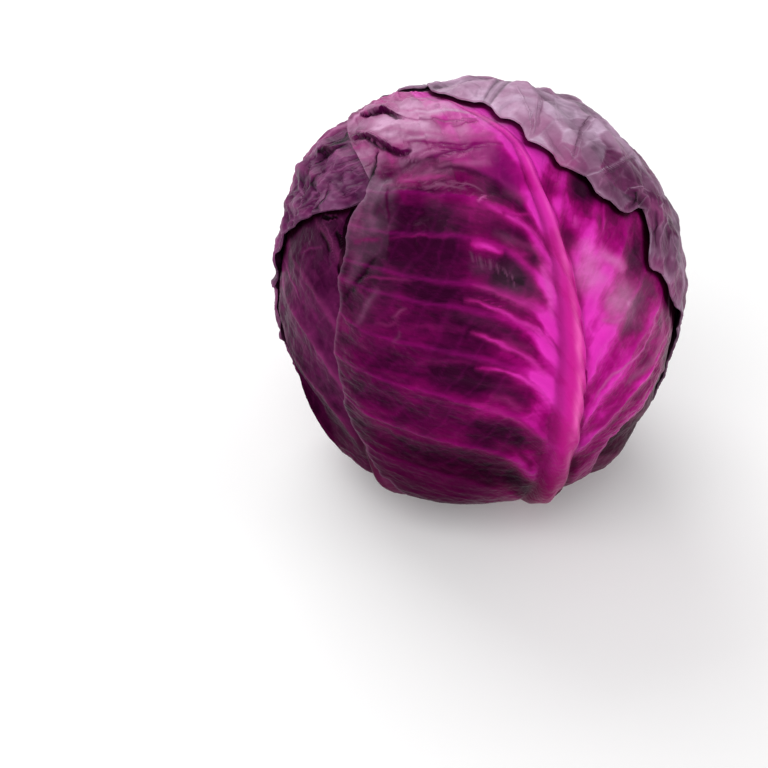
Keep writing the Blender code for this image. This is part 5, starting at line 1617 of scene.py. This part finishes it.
# The stump's colours: its face from dull to pale, its woody ring, its purple skin, its fibres
STUMP_DULL = (0.640, 0.560, 0.380)
STUMP_PALE = (0.780, 0.730, 0.580)
STUMP_RING = (0.470, 0.360, 0.200)
STUMP_SKIN = (0.300, 0.090, 0.190)
STUMP_FIBRE = (0.560, 0.470, 0.300)

# The inner head's purple, from the darkest part of its noise to the palest
INNER_RAMP = [(0.25, (0.060, 0.004, 0.040)), (0.55, (0.190, 0.020, 0.120)), (0.8, (0.360, 0.060, 0.240))]


def stem_material():
    n = Nodes("look_stem")
    fibres = n.noise(420.0, 4.0, 0.65)
    blotch = n.noise(70.0, 4.0, 0.6, 0.5)
    colour = n.mix(STUMP_DULL, STUMP_PALE, blotch)
    colour = n.mix(colour, STUMP_RING, n.math("MULTIPLY", n.mask("ring"), 0.55))
    colour = n.mix(colour, STUMP_SKIN, n.math("MULTIPLY", n.mask("skin"), 0.75))
    colour = n.mix(colour, STUMP_FIBRE, n.math("MULTIPLY", fibres, 0.4))
    n.put(n.shader.inputs["Base Color"], colour)
    n.put(n.shader.inputs["Roughness"], n.math("MULTIPLY_ADD", blotch, 0.20, 0.52))
    n.put(n.shader.inputs["Normal"], n.bump(fibres, 0.5, 0.0005))
    return n.material


def head_material():
    n = Nodes("look_inner_head")
    broad = n.noise(45.0, 4.0, 0.55, 0.5)
    n.put(n.shader.inputs["Base Color"], n.ramp(broad, INNER_RAMP))
    n.put(n.shader.inputs["Roughness"], n.math("MULTIPLY_ADD", broad, 0.2, 0.38))
    n.put(n.shader.inputs["Normal"], n.bump(n.noise(180.0, 3.0), 0.4, 0.0006))
    return n.material


# Inner head and stem


def skinned(rings):
    """Points and faces of a closed body over level rings of points, from the lowest up."""
    sides = len(rings[0])
    points = np.concatenate([rings[0].mean(axis=0)[None], *rings, rings[-1].mean(axis=0)[None]])
    top = len(points) - 1
    faces = []
    for side in range(sides):
        after = (side + 1) % sides
        faces.append((0, 1 + after, 1 + side))
        for ring in range(len(rings) - 1):
            a, b = 1 + ring * sides + side, 1 + ring * sides + after
            faces += [(a, b, b + sides), (a, b + sides, a + sides)]
        last = 1 + (len(rings) - 1) * sides
        faces.append((top, last + side, last + after))
    return points, faces


# The inner head: the height of its overlapping folds, how far its skin lies inside the solid, and
# how many points go round it
LAP_HEIGHT = 0.0005
HEAD_INSIDE = 0.0010
HEAD_SIDES = 160


def add_inner_head():
    """The tight inner leaves, with the low folds of their overlapping edges."""
    turns = np.arange(HEAD_SIDES) * 360.0 / HEAD_SIDES
    rises = np.concatenate([np.linspace(6.0, 48.0, 18)[:-1], np.linspace(48.0, 176.0, 70)])
    rings = []
    for rise in rises:
        dirs = direction(turns, np.full(len(turns), rise))
        spiral = (turns / 360.0 * 3.0 + rise / 140.0) % 1.0
        laps = LAP_HEIGHT * step(spiral / 0.08) * (1.0 - spiral) * math.sin(math.radians(rise))
        radii = inner_radius(dirs) - HEAD_INSIDE + laps + 0.00015 * noise(dirs * 9.0, 61)
        rings.append(dirs * radii[:, None] + np.array([0.0, 0.0, CENTRE_HEIGHT]))
    points, faces = skinned(rings)
    carried(mesh_object("dressed_inner_head", points, faces, head_material()), "inner_head")


# The stump: the chamfer round its face, how far its skin lies inside the solid, its face's hollow
# and its scars, all in metres, and where across the face the woody ring and the skin lie
CHAMFER = 0.0011
SKIN_INSIDE = 0.0003
FACE_HOLLOW = 0.00035
SCAR_DEPTH = 0.00022
SCARS_ROUND = 6.0
STUMP_SIDES = 192
RING_AT = 0.74
RING_WIDTH = 0.07
SKIN_FROM = 0.93


def add_stem():
    """The stump: a cut face with its woody ring, and leaf scars round its side."""
    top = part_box("stem")[1][2]
    slope = math.tan(math.radians(STEM_ANGLE))
    turned = np.radians(np.arange(STUMP_SIDES) * 360.0 / STUMP_SIDES)
    circle = np.stack([np.cos(turned), np.sin(turned), 0.0 * turned], axis=-1)
    foot = (CENTRE_HEIGHT - CHAMFER) * slope - CHAMFER
    rings, ring_mask, skin_mask = [], [], []
    for share in np.linspace(0.05, 1.0, 26):
        dip = FACE_HOLLOW * step((1.0 - share) / 0.5) + 0.00012 * math.sin(share * 40.0)
        rough = 0.00008 * noise(circle * foot * share * 900.0, 65)
        ring = circle * foot * share
        ring[:, 2] = np.clip((dip + rough) * (share < 0.97), 0.0, None)
        rings.append(ring)
        ring_mask.append(np.full(STUMP_SIDES, math.exp(-(((share - RING_AT) / RING_WIDTH) ** 2))))
        skin_mask.append(np.full(STUMP_SIDES, float(step((share - SKIN_FROM) / (1.0 - SKIN_FROM)))))
    for height in np.concatenate([np.linspace(0.0003, CHAMFER, 4), np.linspace(0.0018, top, 14)]):
        wide = min((CENTRE_HEIGHT - height) * slope, foot + height)
        scars = SCAR_DEPTH * np.sin(turned * SCARS_ROUND + height * 900.0)
        scars = scars + 0.0001 * noise(circle * 6.0 + height * 300, 66)
        inside = SKIN_INSIDE + scars * min(1.0, height / 0.002)
        ring = circle * (wide - inside * min(1.0, height / CHAMFER))[:, None]
        ring[:, 2] = height
        rings.append(ring)
        ring_mask.append(np.zeros(STUMP_SIDES))
        skin_mask.append(np.ones(STUMP_SIDES))
    points, faces = skinned(rings)
    masks = {
        "ring": np.concatenate([[0.0], *ring_mask, [0.0]]),
        "skin": np.concatenate([[0.0], *skin_mask, [1.0]]),
    }
    carried(mesh_object("dressed_stem", points, faces, stem_material(), masks), "stem")


# Camera, floor and light

# Square lights: (name, place, side in metres, watts, share of their light that shines in the skin)
LIGHTS = [
    ("back", (-0.45, 0.95, 0.85), 1.1, 12.0, 1.0),
    ("front", (-0.55, -1.15, 1.20), 1.7, 17.5, 0.3),
    ("side", (1.2, -0.15, 0.30), 0.6, 4.5, 1.0),
]
LIGHTS_FACE = (0.0, 0.0, 0.08)
SKY_STRENGTH = 0.40


def add_camera():
    """The photo's camera, which looks down along +Y with the head right of the middle."""
    data = bpy.data.cameras.new("camera")
    data.lens, data.sensor_width, data.clip_start = LENS, SENSOR, 0.01
    camera = bpy.data.objects.new("camera", data)
    camera.location = photo_camera()[0]
    camera.rotation_euler = (math.radians(90.0 - CAMERA_PITCH), 0.0, 0.0)
    bpy.context.scene.collection.objects.link(camera)
    bpy.context.scene.camera = camera


def add_floor():
    mesh = bpy.data.meshes.new("floor")
    mesh.from_pydata([(-6, -6, 0), (6, -6, 0), (6, 6, 0), (-6, 6, 0)], [], [(0, 1, 2, 3)])
    made = bpy.data.objects.new("floor", mesh)
    bpy.context.scene.collection.objects.link(made)
    n = Nodes("look_floor")
    white = n.mix((0.90, 0.90, 0.90), (0.92, 0.92, 0.92), n.noise(3.0, 2.0))
    n.put(n.shader.inputs["Base Color"], white)
    n.shader.inputs["Roughness"].default_value = 0.85
    n.shader.inputs["Specular IOR Level"].default_value = 0.1
    n.shader.inputs["Emission Color"].default_value = (1.0, 1.0, 1.0, 1.0)
    n.shader.inputs["Emission Strength"].default_value = 0.10
    mesh.materials.append(n.material)


def add_light(name, place, size, power, gloss):
    """A square light that faces the middle of the head."""
    data = bpy.data.lights.new(name, "AREA")
    data.shape, data.size, data.energy, data.specular_factor = "SQUARE", size, power, gloss
    made = bpy.data.objects.new(name, data)
    made.location = place
    ahead = np.array(LIGHTS_FACE) - np.array(place)
    flat = math.hypot(ahead[0], ahead[1])
    made.rotation_euler = (math.atan2(flat, -ahead[2]), 0.0, math.atan2(ahead[1], ahead[0]) - math.pi / 2)
    bpy.context.scene.collection.objects.link(made)


def add_lights():
    world = bpy.data.worlds.new("studio")
    world.use_nodes = True
    sky = world.node_tree.nodes["Background"]
    sky.inputs["Color"].default_value = (1.0, 1.0, 1.0, 1.0)
    sky.inputs["Strength"].default_value = SKY_STRENGTH
    bpy.context.scene.world = world
    for light in LIGHTS:
        add_light(*light)


def main():
    for leaf in LEAVES:
        leaf["table"] = margin_table(leaf)
        leaf["folds"], leaf["strokes"] = [], []
    for index, leaf in enumerate(LEAVES):
        leaf["folds"] = placed(index, FOLDS)
        leaf["strokes"] = placed(index, STROKES)
    bpy.context.scene.view_settings.view_transform = "Standard"
    add_camera()
    add_floor()
    add_lights()
    add_stem()
    add_inner_head()
    for index in range(len(LEAVES)):
        add_leaf(index)


main()
